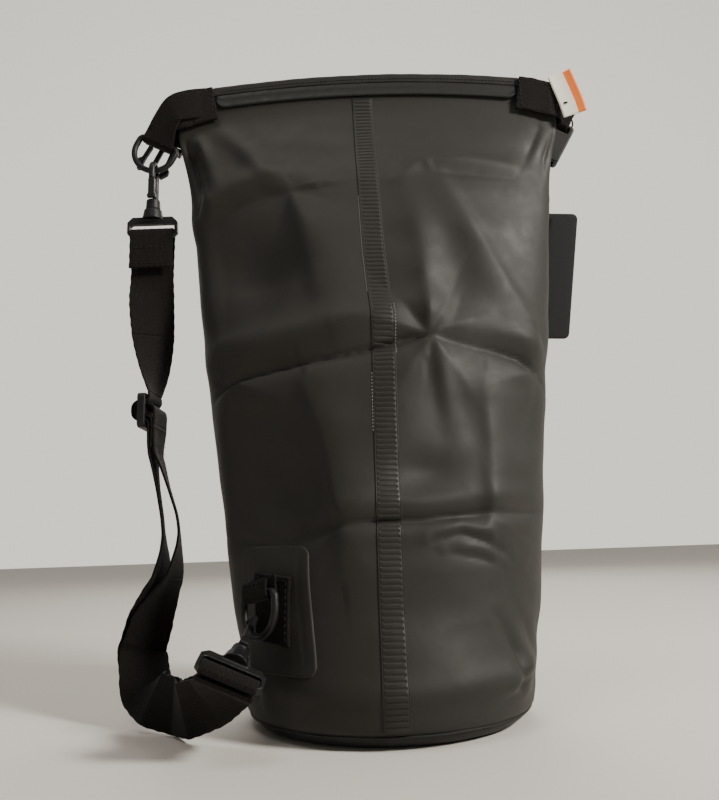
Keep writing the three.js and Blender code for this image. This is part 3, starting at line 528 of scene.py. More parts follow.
# The seam side: lines are (x, z, strength), each from left to right or from top to bottom.
FRONT = [
    # the long crease across the middle, and its star right of the seam
    crease([(-102, 190, 0.5), (-90, 197, 1), (-70, 200, 1), (-46, 203, 1), (-23, 206, 1),
            (-4, 210, 1), (14, 215, 1), (29, 217, 0.6), (38, 213, 0.1)], 4.4, 2.4,
           (5.5, 19, 13), (2.4, 12, 12)),
    crease([(34, 216, 0.1), (55, 211, 0.25), (70, 209, 0.7), (86, 206, 1), (97, 199, 1),
            (104, 187, 0.5)], 3.4, 2.0, (3.4, 12, 8), (1.0, 9, 7)),
    star(30, 218, 20, (20, 0.16), (62, -0.16), (92, 0.26), (128, -0.3), (165, 0.2), (200, -0.2),
         (240, 0.1), (272, -0.14), (302, 0.24), (345, -0.22)),
    star(-88, 199, 18, (12, -0.2), (50, 0.22), (100, -0.06), (150, 0.2), (185, -0.3), (225, 0.14),
         (290, -0.12), (330, 0.22)),
    star(97, 200, 16, (20, -0.3), (60, 0.2), (120, 0.12), (160, -0.28), (200, 0.2), (250, -0.14),
         (300, 0.26), (340, -0.1)),
    dent(-103, 208, 10, 9, 4.5),
    dent(114, 206, 12, 9, 5.0),
    # the lower crease
    crease([(-44, 108, 0.3), (-20, 110, 0.8), (0, 111, 1), (18, 111, 1), (45, 113, 1),
            (62, 114, 0.8), (92, 114, 0.4)], 3.0, 1.7, (2.4, 9, 7), (1.4, 7, 6)),
    crease([(-98, 106, 0.6), (-70, 101, 0.8), (-50, 104, 0.5), (-38, 109, 0.2)], 2.2, 3,
           (1.2, 10, 9)),
    star(-24, 109, 18, (0, -0.2), (50, 0.12), (105, 0.26), (150, -0.1), (190, -0.2), (240, 0.14),
         (300, 0.06)),
    star(58, 112, 16, (0, -0.16), (60, 0.1), (95, 0.24), (140, -0.12), (180, -0.2), (230, 0.2),
         (280, -0.1), (320, 0.12)),
    # the hollow at the lower left, and the ridge that bounds it
    dent(-62, 134, 32, 33, 10.5),
    ridge([(-42, 192, 0.4), (-34, 164, 1), (-27, 132, 1), (-22, 110, 1), (-22, 84, 0.3)],
          3.4, 12, 0.5),
    # the fold at the upper left, with the hollow below it
    crease([(-120, 296, 1), (-106, 306, 1), (-90, 316, 1), (-70, 322, 0.9), (-50, 324, 0.4)],
           1.6, 5, (4.2, 15, 11), (0.2, 12, 8)),
    dent(-79, 268, 32, 31, 10.5),
    ridge([(-50, 326, 0.5), (-43, 296, 1), (-35, 262, 1), (-30, 236, 0.3)], 2.4, 13, 0.4),
    star(-52, 324, 18, (10, 0.1), (60, -0.14), (110, 0.16), (160, 0.12), (200, -0.2), (250, -0.2),
         (290, 0.14), (340, -0.06)),
    # folds that hang from the mouth on the right
    ridge([(16, 331, 0.3), (32, 345, 1), (62, 346, 1), (94, 343, 0.5)], 2.8, 6),
    crease([(20, 336, 0.3), (40, 335, 0.8), (70, 334, 0.8), (96, 332, 0.3)], 1.4, 3, (0.2, 8, 6)),
    ridge([(44, 332, 0.4), (64, 286, 1), (81, 250, 1), (96, 226, 0.6)], 3.0, 10, -0.35),
    ridge([(22, 330, 0.4), (30, 276, 1), (33, 226, 0.8)], 1.7, 9, 0.2),
    dent(50, 264, 14, 34, 2.0),
    dent(4, 290, 16, 44, 1.2),
    ridge([(31, 214, 1), (35, 196, 0.9), (43, 156, 0.3)], 2.6, 6),
    ridge([(62, 192, 0.3), (62, 150, 1), (59, 118, 1), (57, 95, 0.4)], 2.6, 9, 0.4),
    dent(24, 138, 18, 10, 3.4),
    dent(42, 172, 16, 22, 2.4),
    crease([(26, 100, 0.4), (40, 103, 1), (54, 98, 1), (64, 92, 0.4)], 2.2, 2.0, (1.4, 5, 4)),
    crease([(34, 93, 0.4), (50, 90, 1), (60, 86, 0.3)], 1.8, 2.0, (1.2, 5, 4)),
    # puckers at the bottom
    crease([(58, 60, 0.3), (66, 40, 1), (68, 22, 0.9)], 1.8, 2.2, (1.6, 5, 4), (1.2, 5, 4)),
    crease([(74, 56, 0.3), (80, 38, 1), (80, 22, 0.9)], 1.6, 2.2, (1.2, 5, 4)),
    crease([(52, 16, 0.3), (64, 20, 1), (76, 30, 0.6)], 1.6, 2.0, (1.4, 5, 4)),
    crease([(-86, 48, 0.3), (-78, 32, 1), (-72, 22, 0.7)], 1.8, 2.2, (1.4, 5, 4)),
    ridge([(-84, 34, 0.7), (-50, 28, 1), (0, 26, 1), (40, 27, 1), (70, 30, 1.6), (84, 34, 1.8)],
          1.8, 8),
    # near the corners of the mouth
    ridge([(-100, 388, 0.8), (-80, 358, 1), (-60, 332, 0.3)], 3.0, 7),
    crease([(-120, 376, 1), (-112, 352, 1), (-106, 330, 0.3)], 3.4, 3, (1.8, 6, 5), (1.8, 6, 5)),
    crease([(118, 384, 1), (112, 366, 0.8), (104, 346, 0.2)], 2.2, 2.6, (1.6, 6, 5)),
    dent(-88, 366, 12, 16, 1.8),
    dent(0, 60, 60, 12, 0.8),
]

SIDES = [
    crease([(-126, 386, 0.8), (-121, 366, 1.1), (-117, 342, 1.1), (-114, 318, 0.3)], 6.5, 3.2,
           (1.6, 8, 4), (0.2, 6, 4)),
    crease([(126, 380, 0.5), (121, 360, 0.8), (116, 338, 0.2)], 2.6, 2.6, (0.8, 6, 5)),
]

# The wall side, seen from behind with +X on the left.
BACK = [
    crease([(-104, 205, 0.8), (-70, 214, 1), (-40, 211, 1), (-8, 204, 1), (30, 207, 1),
            (70, 214, 1), (104, 208, 0.8)], 3.0, 2.8, (3.2, 16, 13), (1.8, 11, 12)),
    crease([(-60, 118, 0.3), (-20, 113, 1), (24, 116, 1), (70, 110, 0.4)], 1.8, 2.4, (1.4, 9, 8)),
    ridge([(48, 330, 0.4), (34, 286, 1), (26, 236, 0.4)], 2.6, 13, 0.2),
    ridge([(-60, 330, 0.3), (-40, 280, 1), (-28, 226, 0.4)], 2.4, 13, -0.2),
    ridge([(-20, 196, 0.4), (-10, 160, 1), (-6, 124, 0.4)], 2.4, 12),
    ridge([(70, 196, 0.3), (58, 160, 1), (50, 126, 0.3)], 2.2, 12),
    crease([(-118, 300, 1), (-92, 312, 0.8), (-62, 318, 0.2)], 2.2, 4, (2.0, 12, 9)),
    crease([(118, 296, 1), (90, 306, 0.8), (58, 300, 0.2)], 2.2, 4, (2.0, 12, 9)),
    dent(64, 262, 22, 26, 2.6),
    dent(-78, 252, 20, 24, 2.2),
    dent(20, 80, 40, 16, 1.4),
    crease([(-66, 54, 0.3), (-70, 38, 1), (-68, 22, 0.5)], 1.6, 2.5, (1.2, 5, 4)),
    crease([(60, 58, 0.3), (64, 40, 1), (62, 24, 0.5)], 1.4, 2.5, (1.0, 5, 4)),
    ridge([(98, 384, 0.8), (80, 356, 1), (62, 330, 0.3)], 1.8, 8),
    ridge([(-98, 384, 0.8), (-82, 352, 1), (-66, 326, 0.3)], 1.8, 8),
]

WAVES = np.random.RandomState(4).uniform(-1, 1, (26, 5))


def swell(angle, z):
    """How far the cloth stands off the plain surface, in millimetres."""
    p = plain_surface(angle, z)
    x, y = p[..., 0], p[..., 1]
    # the features of the side the point is on, then fine facets and slow waves
    c = np.cos(angle)
    front = smoothstep(-0.12, 0.14, c)
    total = sum(f(x, z) for f in FRONT) * front + sum(f(x, z) for f in BACK) * (1 - front)
    for k, (fa, fz, phase, more, size) in enumerate(WAVES[:10]):
        slant = x * (0.05 + 0.012 * k) * fa + z * (0.05 + 0.01 * k) * fz + phase * 9
        bent = slant + 0.8 * np.sin(x * 0.03 * more + z * 0.024 + k)
        total = total + 0.5 * np.abs(size) * (0.35 - np.abs(np.sin(bent))) * (0.5 + 0.5 * np.sin(
            x * 0.021 * fz + z * 0.019 + 2 * k))
    total = total * (1 - 0.75 * smoothstep(0.84, 0.99, np.abs(np.sin(angle))))
    total = total + sum(f(x, z) for f in SIDES) * front
    free = smoothstep(10, 26, z) * (1 - smoothstep(366, 396, z))
    drift = 0
    for k, (fa, fz, phase, more, size) in enumerate(WAVES):
        pace = 0.025 + 0.006 * k
        drift = drift + (0.42 / (1 + 0.12 * k)) * size * np.sin(
            x * pace * fa + y * pace * more + z * pace * fz * 1.3 + phase * 7)
    open_end = smoothstep(8, 18, z) * (1 - smoothstep(384, 398, z))
    return total * (0.15 + 0.85 * free) * open_end + drift * free


def surface(angle, z, out=0.0):
    """Points of the creased cloth's outside, out millimetres further out."""
    angle, z = np.broadcast_arrays(np.asarray(angle, float), np.asarray(z, float))
    return plain_surface(angle, z) + plain_normal(angle, z) * (swell(angle, z) + out)[..., None]


def even_angles(count):
    """Angles that share the girth about evenly, from the round base to the flat mouth."""
    fine = np.linspace(0, 2 * math.pi, 4001)
    weight = 1 / np.maximum(np.hypot(1.15 * np.cos(fine), 0.62 * np.sin(fine)), 0.3)
    run = np.concatenate([[0], np.cumsum(0.5 * (1 / weight[1:] + 1 / weight[:-1]))])
    return np.interp(np.linspace(0, run[-1], count + 1)[:-1], run, fine)


# ------------------------------------------------------------------ body shell
COLUMNS = 300
WALL_ROWS = 230
SHELL_ROWS = np.concatenate([np.linspace(7.4, 20, 12), np.linspace(21.5, 400, WALL_ROWS),
                             np.linspace(402, 414.4, 8)])


def make_shell():
    angles = even_angles(COLUMNS)
    grid_a, grid_z = np.meshgrid(angles, SHELL_ROWS)
    tuck = -0.9 * (1 - smoothstep(7.4, 9.4, grid_z))
    outer = surface(grid_a, grid_z, tuck + 0.2)
    inner = surface(grid_a, grid_z, tuck - 1.0)
    rows = len(SHELL_ROWS)
    verts = np.concatenate([outer.reshape(-1, 3), inner.reshape(-1, 3)])
    count = rows * COLUMNS
    faces = grid_faces(rows, COLUMNS, wrap=True)
    faces += [tuple(i + count for i in f[::-1]) for f in grid_faces(rows, COLUMNS, wrap=True)]
    for j in range(COLUMNS):
        k = (j + 1) % COLUMNS
        faces.append((k, j, count + j, count + k))
        top = (rows - 1) * COLUMNS
        faces.append((top + j, top + k, count + top + k, count + top + j))
    girth = angles * 84 * MM
    uv = np.stack([np.tile(girth, rows), np.repeat(SHELL_ROWS * MM, COLUMNS)], axis=1)
    shell = piece("bag_shell", verts, faces, FABRIC, None, "body_tube", "mouth_tube",
                  uv=np.concatenate([uv, uv]))
    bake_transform(shell)


make_shell()


def make_base():
    """The round base: a dished disc with a rolled edge and the welded lip under the wall."""
    profile = [(0.01, 0.9), (20, 0.8), (44, 0.35), (60, 0.1), (68, 0.15)]
    for t in np.linspace(0, math.pi / 2, 12)[1:]:
        profile.append((70 + 13.9 * math.sin(t), 14 - 13.85 * math.cos(t)))
    profile += [(83.4, 15.4), (82.2, 16.4), (81.6, 26), (80.8, 26.4), (80.4, 25.8), (80.6, 16),
                (78, 8), (70, 2.2), (40, 1.9), (0.01, 1.9)]
    columns = 160
    verts = []
    for r, z in profile:
        for k in range(columns):
            t = 2 * math.pi * k / columns
            wobble = 0.25 * math.sin(5 * t + 1) + 0.15 * math.sin(13 * t)
            lift = max(0.0, z + (wobble * 0.6 if 60 < r and 1 < z < 12 else 0))
            verts.append((r * math.sin(t), -r * math.cos(t), lift))
    faces = grid_faces(len(profile), columns, wrap=True)
    verts.append((0, 0, profile[0][1]))
    verts.append((0, 0, profile[-1][1]))
    last = (len(profile) - 1) * columns
    for k in range(columns):
        faces.append((len(verts) - 2, (k + 1) % columns, k))
        faces.append((len(verts) - 1, last + k, last + (k + 1) % columns))
    # the base is coloured darker than the wall: painted shade for the shadow under the bag
    piece("bag_base", verts, faces, SHADED_BASE, "bag", "base_panel")
    bead = []
    for t in np.linspace(0, 2 * math.pi, 181):
        r = 82.0 + 0.1 * math.sin(9 * t)
        bead.append((r * math.sin(t), -r * math.cos(t), 6.9 + 0.12 * math.sin(17 * t)))
    tube("base_weld", bead, 0.55, HEM, "bag")


make_base()


def seam_x(z):
    """The seam wanders a little from side to side."""
    heights = [0, 70, 120, 178, 228, 275, 357, 400]
    return np.interp(z, heights, [0.7, 1.0, 1.6, 2.4, 3.2, 0, -2.4, -3])


def make_seam():
    """The welded tape: a ladder of ribs between two fine lines, over the closure seam."""
    z = np.arange(9.5, 403, 0.4)
    across = np.array([-7.9, -7.6, -7.3, -7.0, -6.6, -6.2, -5.8, -5.2, -4, -2, 0,
                       2, 4, 5.2, 5.8, 6.2, 6.6, 7.0, 7.3, 7.6, 7.9])
    narrow = 0.87
    height = {7.9: 0.05, 7.6: 0.5, 7.3: 0.62, 7.0: 0.35, 6.6: 0.6, 6.2: 0.62, 5.8: 0.55}
    rib = np.abs(((z + 0.3 * np.sin(z * 0.05)) / 3.0) % 1 - 0.5) * 2
    groove = smoothstep(0.5, 0.9, rib)
    rows, under = [], []
    for i, zz in enumerate(z):
        x = seam_x(zz) + across * narrow
        lift = np.array([height.get(round(abs(a), 1), 0.55) for a in across])
        ladder = np.abs(across) < 6.0
        wave = 0.16 * np.cos(2 * math.pi * zz / 0.9)
        lift = np.where(ladder, 0.95 - 0.5 * groove[i] - 0.14 * np.abs(across) / 6, lift)
        lift = np.where(np.abs(np.abs(across) - 7.3) < 0.05, lift + wave, lift)
        angle = np.arcsin(np.clip(x / section(np.array([zz]))[0], -1, 1))
        rows.append(surface(angle, np.full(across.shape, zz), 0.2 + lift))
        under.append(surface(angle, np.full(across.shape, zz), 0.0))
    made = piece("seam_ladder", *slab(np.array(rows), np.array(under)), TAPE, None, "seam_tape",
                 "seam_tape_top")
    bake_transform(made)


make_seam()


def seam_glint_dots():
    """The beaded edge of the tape, where the weld squeezed out; the beads' pale colour is a painted
    highlight.
    """
    lines, lifts = [], []
    for side in (-1, 1):
        for low, high in (((160, 196), (246, 318)) if side < 0 else ((206, 238),)):
            z = np.arange(low, high, 1.0)
            half_width = section(z)[0]
            angle = np.arcsin((seam_x(z) + side * 7.15) / half_width)
            lines.append(surface(angle, z, 0.35))
            lifts.append((0, -1, 0))
    stitches("seam_beads", lines, "bag", lifts, length=1.1, pitch=1.9, radius=0.24, look=GLINT_DOTS)


seam_glint_dots()

# ------------------------------------------------------------------ mouth


def arched(x, z):
    return z - ARCH * (x / MOUTH_HALF) ** 2 - end_droop(x)


def stadium(half, r, count):
    """Points and directions outwards round a flat ring in plan, from the middle of the front."""
    flat = half - r
    total = 4 * flat + 2 * math.pi * r
    out = []
    for s in np.linspace(0, total, count, endpoint=False):
        if s < flat:
            out.append((s, -r, 0, -1))
        elif s < flat + math.pi * r:
            t = (s - flat) / r
            out.append((flat + r * math.sin(t), -r * math.cos(t), math.sin(t), -math.cos(t)))
        elif s < 3 * flat + math.pi * r:
            out.append((flat - (s - flat - math.pi * r), r, 0, 1))
        elif s < 3 * flat + 2 * math.pi * r:
            t = (s - 3 * flat - math.pi * r) / r
            out.append((-flat - r * math.sin(t), r * math.cos(t), -math.sin(t), math.cos(t)))
        else:
            out.append((-flat + (s - 3 * flat - 2 * math.pi * r), -r, 0, -1))
    return out


def make_hem():
    """The turned hem: cloth folded over at the top edge, with a line of stitches."""
    ring = stadium(MOUTH_HALF + 0.2, 4.6, 420)
    profile = [(0.6, 414.9), (0.75, 415.6), (0.6, 417), (0.55, 419.6), (0.3, 421.0), (-0.4, 421.8),
               (-1.1, 421.6), (-1.6, 420.6), (-1.7, 418), (-1.7, 415.2), (-1.2, 414.8)]
    verts = []
    for n, (x, y, nx, ny) in enumerate(ring):
        bend = 0.14 * math.sin(x * 0.11) + 0.1 * math.sin(x * 0.37 + y)
        for out, z in profile:
            groove = -0.22 if 416.6 < z < 418.4 and out > 0 else 0
            verts.append((x + nx * (out + groove), y + ny * (out + groove) + bend * 0.5,
                          arched(x, z) + bend))
    m = len(profile)
    n = len(ring)
    faces = []
    for i in range(n):
        k = (i + 1) % n
        for j in range(m):
            q = (j + 1) % m
            faces.append((i * m + j, k * m + j, k * m + q, i * m + q))
    piece("mouth_hem", verts, faces, HEM, "mouth", "hem_band")
    lines, outs = [], []
    for side in (-1, 1):
        xs = np.linspace(-102, 102, 120)
        lines.append([(x, side * 5.15, arched(x, 417.6)) for x in xs])
        outs.append((0, side, 0))
    stitches("hem_stitches", lines, "mouth", outs, length=1.7, pitch=2.4, radius=0.2)


make_hem()


def make_stiffener(front):
    """The strip of plastic that keeps the mouth flat, thicker along its lower edge."""
    sign = -1 if front else 1
    half, low, high, r = 104, 404.5, 414.6, 6.0
    xs = np.concatenate([-half + np.array([0, 0.25, 0.8, 1.6, 2.6, 4, 6]), np.linspace(-96, 96, 90),
                         half - np.array([6, 4, 2.6, 1.6, 0.8, 0.25, 0])])
    verts = []
    m = 0
    for x in xs:
        over = max(0.0, abs(x) - (half - r))
        drop = r - math.sqrt(max(0.0, r * r - over * over))
        bottom = low + min(drop, high - low - 1.2)
        end = smoothstep(0, 1.2, half - abs(x))
        face = [(4.45, bottom + 0.4), (4.9 + 0.5 * end, bottom), (5.6 + 0.55 * end, bottom + 0.45),
                (5.75 + 0.4 * end, bottom + 1.6), (5.35 + 0.4 * end, bottom + 2.1),
                (5.3 + 0.4 * end, bottom + 0.6 * (high - bottom)), (5.3 + 0.3 * end, high - 0.5),
                (5.0, high), (4.45, high - 0.2)]
        bow = 0.25 * math.sin(x * 0.03)
        m = len(face)
        for y, z in face:
            verts.append((x, sign * (y + bow * 0.3), arched(x, min(z, high))))
    name = "front" if front else "back"
    piece("strip_" + name, verts, capped_sweep(len(xs), m), STRIP, "mouth", "stiffener_" + name)


make_stiffener(True)
make_stiffener(False)


def frayed(name, starts, heading, body, seed, length=(2, 6), radius=0.12):
    """Loose threads at a cut edge of webbing."""
    pick = np.random.RandomState(seed)
    made = []
    for start in starts:
        goal = np.asarray(heading, float) + pick.uniform(-0.6, 0.6, 3)
        reach = pick.uniform(*length)
        bend = pick.uniform(-0.5, 0.5, 3)
        pts = [np.asarray(start, float) + unit(goal) * reach * t + bend * reach * 0.5 * t * t
               for t in np.linspace(0, 1, 6)]
        made.append(tube("thread", pts, radius, THREAD, None, sides=5, taper=True))
    out = joined(name, made)
    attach(out, body)


MOUTH_TOP, TAB_HALF = 422, 12.5


def make_end_tab(sign):
    """Webbing folded round one end of the mouth, with box stitches and frayed cut edges."""
    y = 5.9 + WEB_T / 2
    start, turn = 104.6, 128.5
    path = [(start, -y), (start + 8, -y - 0.25), (start + 17, -y - 0.1), (turn, -y)]
    path += [(turn + y * math.sin(t), -y * math.cos(t))
             for t in (math.pi / 4, math.pi / 2, math.pi * 0.75)]
    path += [(turn, y), (start + 17, y + 0.1), (start + 8, y + 0.25), (start, y)]
    middle = MOUTH_TOP - 1 - TAB_HALF
    sewn = TAB_HALF - 2

    def at(x, side_y, up):
        return (sign * x, side_y, arched(x, middle + up))

    points = [(sign * x, yy, arched(min(x, MOUTH_HALF), middle)) for x, yy in path]
    centre = catmull(points, 64)
    name = "left" if sign < 0 else "right"
    wide = np.tile([0.0, 0.0, 1.0], (len(centre), 1))
    ribbon("tab_" + name, centre, wide, 2 * TAB_HALF, "mouth", "end_tab_" + name, wave=1)
    lines, outs = [], []
    for side in (-1, 1):
        yy = side * (y + WEB_T / 2 + 0.05)
        for x in (start + 2, turn - 2):
            lines.append([at(x, yy, h) for h in np.linspace(-sewn, sewn, 12)])
        for h in (-sewn, sewn):
            lines.append([at(x, yy, h) for x in np.linspace(start + 2, turn - 2, 8)])
        outs += [(0, side, 0)] * 4
    stitches("tab_stitches_" + name, lines, "mouth", outs)
    starts = [at(start, -y - 0.4, h) for h in np.linspace(-11.5, 11.5, 16)]
    frayed("tab_fray_" + name, starts, (-sign, -0.25, -0.1), "mouth", 7 + sign, (0.8, 2.6))


make_end_tab(-1)
make_end_tab(1)

# ------------------------------------------------------------------ frames of the hardware


def axes(position, x_axis, z_axis):
    z = unit(np.asarray(z_axis, float))
    x = np.asarray(x_axis, float)
    x = unit(x - x.dot(z) * z)
    return np.asarray(position, float), x, np.cross(z, x), z


def place(frame_axes, x, y, z):
    o, ax, ay, az = frame_axes
    return o + ax * x + ay * y + az * z


def bar_loop(name, thread, at, path, rows, width, body, node):
    """Webbing round a bar, sewn to itself: path and rows hold (depth, height) in at's frame."""
    centre = catmull([place(at, 0, y, z) for y, z in path], 60)
    ribbon(name, centre, np.tile(at[1], (len(centre), 1)), width, body, node, wave=1)
    lines = [[place(at, x, y, z) for x in np.linspace(-9.5, 9.5, 9)] for y, z in rows]
    stitches(thread, lines, body, [tuple(at[2] * math.copysign(1, y)) for y, z in rows])


RING_UP = (-144.6, 0, 377)
UP_DOWN = np.array((-0.451, 0, -0.892))
UP_ACROSS = np.array((0.892, 0, -0.451))
D_WIRE = 2.1
GAP = 0.35  # between a bar and the webbing round it
ROUND = D_WIRE + GAP + WEB_T / 2


def make_ring_webbing():
    """The end tab's webbing, bent down from the tab and folded round the upper D-ring's bar."""
    bar = np.array(RING_UP, float)
    down = unit(UP_DOWN)
    half = UP_ACROSS * 11.4

    def side(y_tab, y_bar):
        high = [(-110, y_tab * 0.73, 414.2), (-124, y_tab, 411.6), (-134, y_tab, 408.4),
                (-144.5, y_tab * 0.75, 398), tuple(bar - half + (0, y_bar, 0))]
        low = [(-110, y_tab * 0.73, 391.6), (-122, y_tab, 389.4), (-130, y_tab, 387.6),
               (-133, y_tab * 0.8, 382.5), tuple(bar + half + (0, y_bar, 0))]
        return catmull(high, 26), catmull(low, 26)

    front_high, front_low = side(-8.4, -ROUND)
    turns = np.linspace(0, math.pi, 14)[1:-1]
    around = np.array([bar + down * ROUND * math.sin(t) + (0, -ROUND * math.cos(t), 0)
                       for t in turns])
    back_high, back_low = side(8.4, ROUND)
    high = np.concatenate([front_high, around - half, back_high[::-1]])
    low = np.concatenate([front_low, around + half, back_low[::-1]])
    across = high - low
    made = ribbon("ring_webbing", (high + low) / 2, across, np.linalg.norm(across, axis=1), None)
    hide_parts("d_ring_webbing")
    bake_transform(made)
    lines = []
    for where in (6.5, 8.2):
        p = bar - down * where + (0, -ROUND - WEB_T / 2 - where * 0.17, 0)
        lines.append([p + UP_ACROSS * s for s in np.linspace(-10, 10, 10)])
    thread = stitches("ring_webbing_stitches", lines, None, [(0, -1, 0)] * 2)
    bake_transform(thread)


make_ring_webbing()

# ------------------------------------------------------------------ strap patch
PATCH_ANGLE = 0.75  # radians round the tube from the front's middle, towards -X
ARC_MM = 85  # the tube's radius there
PATCH_MID, PATCH_TURN = 67, 0.12  # the webbing's middle height, and its tilt in radians


def on_patch(s, z, out):
    """A point on the tube at s millimetres towards the front from the patch's middle line."""
    return surface(-(PATCH_ANGLE - np.asarray(s, float) / ARC_MM), z, out)


def panel(name, half, low, high, radius, inside, thickness, look, replaced, turn=0.0, groove=None):
    """A sewn or welded panel that follows the tube, with rounded corners and a soft edge."""
    middle, tall = (low + high) / 2, (high - low) / 2
    inset = np.array([0, 0.15, 0.45, 0.9, 1.5, 2.4])

    def spread(size, count):
        inner = np.linspace(-size + 3.4, size - 3.4, count)
        return np.concatenate([-size + inset, inner, size - inset[::-1]])

    ss, tt = np.meshgrid(spread(half, 30), spread(tall, 36) / tall)
    over = np.maximum(0, np.abs(ss) - (half - radius))
    reach = tall - radius + np.sqrt(np.maximum(0, radius**2 - over**2))
    along = tt * reach
    edge = np.minimum(half - np.abs(ss), reach - np.abs(along))
    lift = thickness * np.sqrt(np.clip(edge / 0.8, 0, 1))
    if groove:
        lift = lift - 0.45 * np.exp(-((edge - groove) / 0.5) ** 2)
        lift = lift + 0.12 * np.exp(-((edge - groove - 1.2) / 0.6) ** 2)
    z = middle + along * math.cos(turn) - ss * math.sin(turn)
    s = ss * math.cos(turn) + along * math.sin(turn)
    front = on_patch(s, z, inside + lift)
    back = on_patch(s, z, np.full(s.shape, inside))
    uv = np.stack([(ss + half).ravel() * MM, (along + tall).ravel() * MM], axis=1)
    piece(name, *slab(front, back), look, "bag", replaced, uv=np.concatenate([uv, uv]))


panel("patch_weld", 25, 34, 100, 6, 0.25, 1.0, FABRIC, "strap_patch", groove=6.0)
panel("patch_tab", 12.5, 49, 85, 0.6, 1.35, 1.4, WEBBING, "patch_webbing", turn=PATCH_TURN)


def patch_line(points, out=2.95):
    dense = catmull([(a, b, 0) for a, b in points], 40)
    c, t = math.cos(PATCH_TURN), math.sin(PATCH_TURN)
    s = dense[:, 0] * c + dense[:, 1] * t
    z = PATCH_MID + dense[:, 1] * c - dense[:, 0] * t
    return on_patch(s, z, np.full(s.shape, out))


PATCH_OUT = (-0.66, -0.74, 0.1)
box = [patch_line([(side, -16), (side, 0), (side, 16)]) for side in (-10.5, 10.5)]
box += [patch_line([(-10.5, h), (0, h), (10.5, h)]) for h in (15.5, -15.5)]
stitches("patch_stitches", box, "bag", [PATCH_OUT] * 4)
cut_edge = [patch_line([(12.3, h), (12.4, h), (12.5, h)])[1] for h in np.linspace(-16, 16, 18)]
frayed("patch_fray", cut_edge, (0.5, -0.75, 0.1), "bag", 21, (0.8, 2.4))

RING_LOW = (-68.4, -65.2, 75.2)
LOW_RING = axes(RING_LOW, (0.68, -0.713, 0.17), (-0.042, 0.186, 0.981))
ring_path = [(ROUND, 9), (ROUND, 4)]
ring_path += [(ROUND * math.cos(t), -ROUND * math.sin(t)) for t in np.linspace(0, math.pi, 9)]
ring_path += [(-ROUND, 3), (-ROUND + 0.5, 6.5)]
ring_rows = [(-ROUND - WEB_T / 2, h) for h in (3.4, 5.2)]
bar_loop("patch_ring_loop", "patch_loop_stitches", LOW_RING, ring_path, ring_rows, 22, "bag",
         "patch_loop")

# ------------------------------------------------------------------ buckle webbing


def buckle_webbing(name, at, depth, low, tall, node):
    side = [(depth, tall), (depth, 0.6), (depth * 0.98, low * 0.65), (depth * 0.58, low), (0, low)]
    path = side + [(-y, z) for y, z in side[:-1][::-1]]
    sewn = [(y, tall - 3) for y in (-depth - WEB_T / 2, depth + WEB_T / 2)]
    bar_loop(name, name + "_stitches", at, path, sewn, 22, "mouth", node)


MALE = axes((-141, 11.4, 388), UP_ACROSS, -UP_DOWN)
FEMALE = axes((134, 13.8, 391), (0.866, 0, -0.5), (0.5, 0, 0.866))
buckle_webbing("male_webbing", MALE, 3.4, -2.9, 13, "buckle_webbing_left")
buckle_webbing("female_webbing", FEMALE, 5.9, -4.6, 10, "buckle_webbing_right")

# ------------------------------------------------------------------ shoulder strap
STRAP_W = 29
SLIDER_AT = np.array((-148.0, 0, 186))
HANG_UP = np.array((-148.0, 0, 356.3))
BAR = -47.75
UP_BAR = HANG_UP[2] + BAR
OUT = 2.2 + GAP + WEB_T / 2
LOW_BASE = axes((-74.03, -57.34, 58.21), (0.91, 0.16, -0.38), (0.084, 0.916, 0.391))
BASE_WIDE = -LOW_BASE[1]

# centre and width direction: from the sewn end, over the hook's bar and down to the slider
UPPER = [((-148, -OUT, UP_BAR - 24), (1, 0, 0)), ((-148, -OUT, UP_BAR - 3), (1, 0, 0)),
         ((-148, -OUT, UP_BAR), (1, 0, 0)), ((-148, -OUT * 0.7, UP_BAR + 3.3), (1, 0, 0)),
         ((-148, OUT * 0.7, UP_BAR + 3.3), (1, 0, 0)), ((-148, OUT, UP_BAR), (1, 0, 0)),
         ((-148, OUT, UP_BAR - 3), (1, 0, 0)), ((-148, OUT * 0.4, UP_BAR - 30), (1, 0, 0)),
         ((-147.5, 0, 262), (0.95, 0.3, 0)), ((-146, 0, 238), (0.8, 0.6, 0)),
         ((-144.6, 0, 214), (0.4, 0.92, 0)), ((-144.3, 0, 198.5), (0, 1, 0))]
top_centre = catmull([p for p, _ in UPPER], 221)
top_wide = catmull([w for _, w in UPPER], 221)
NECK = 180  # the sample where the part that the hook carries meets the part that the slider carries
top_part = ribbon("strap_top", top_centre[:NECK + 1], top_wide[:NECK + 1], STRAP_W, None, wave=1)
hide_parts("strap_upper")
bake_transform(top_part)
neck_part = ribbon("strap_neck", top_centre[NECK:], top_wide[NECK:], STRAP_W, None, wave=1)
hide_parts("strap_upper")
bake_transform(neck_part)
rows = [[(x, -OUT - WEB_T / 2 - 0.05, UP_BAR - drop) for x in np.linspace(-160, -136, 10)]
        for drop in (10, 21)]
stitches("strap_top_stitches", rows, "upper_base", [(0, -1, 0)] * 2)
cut_end = [(-134.5, -OUT - 0.3, UP_BAR - 23.5), (-137, -OUT - 0.5, UP_BAR - 24)]
cut_end += [(x, -OUT, UP_BAR - 24) for x in (-141, -150, -158)]
frayed("strap_top_fray", cut_end, (0.3, -0.4, -0.8), "upper_base", 5, (1.5, 5))


def at_slider(x, z):
    return (tuple(SLIDER_AT + np.array((x, 0, z))), (0, 1, 0))


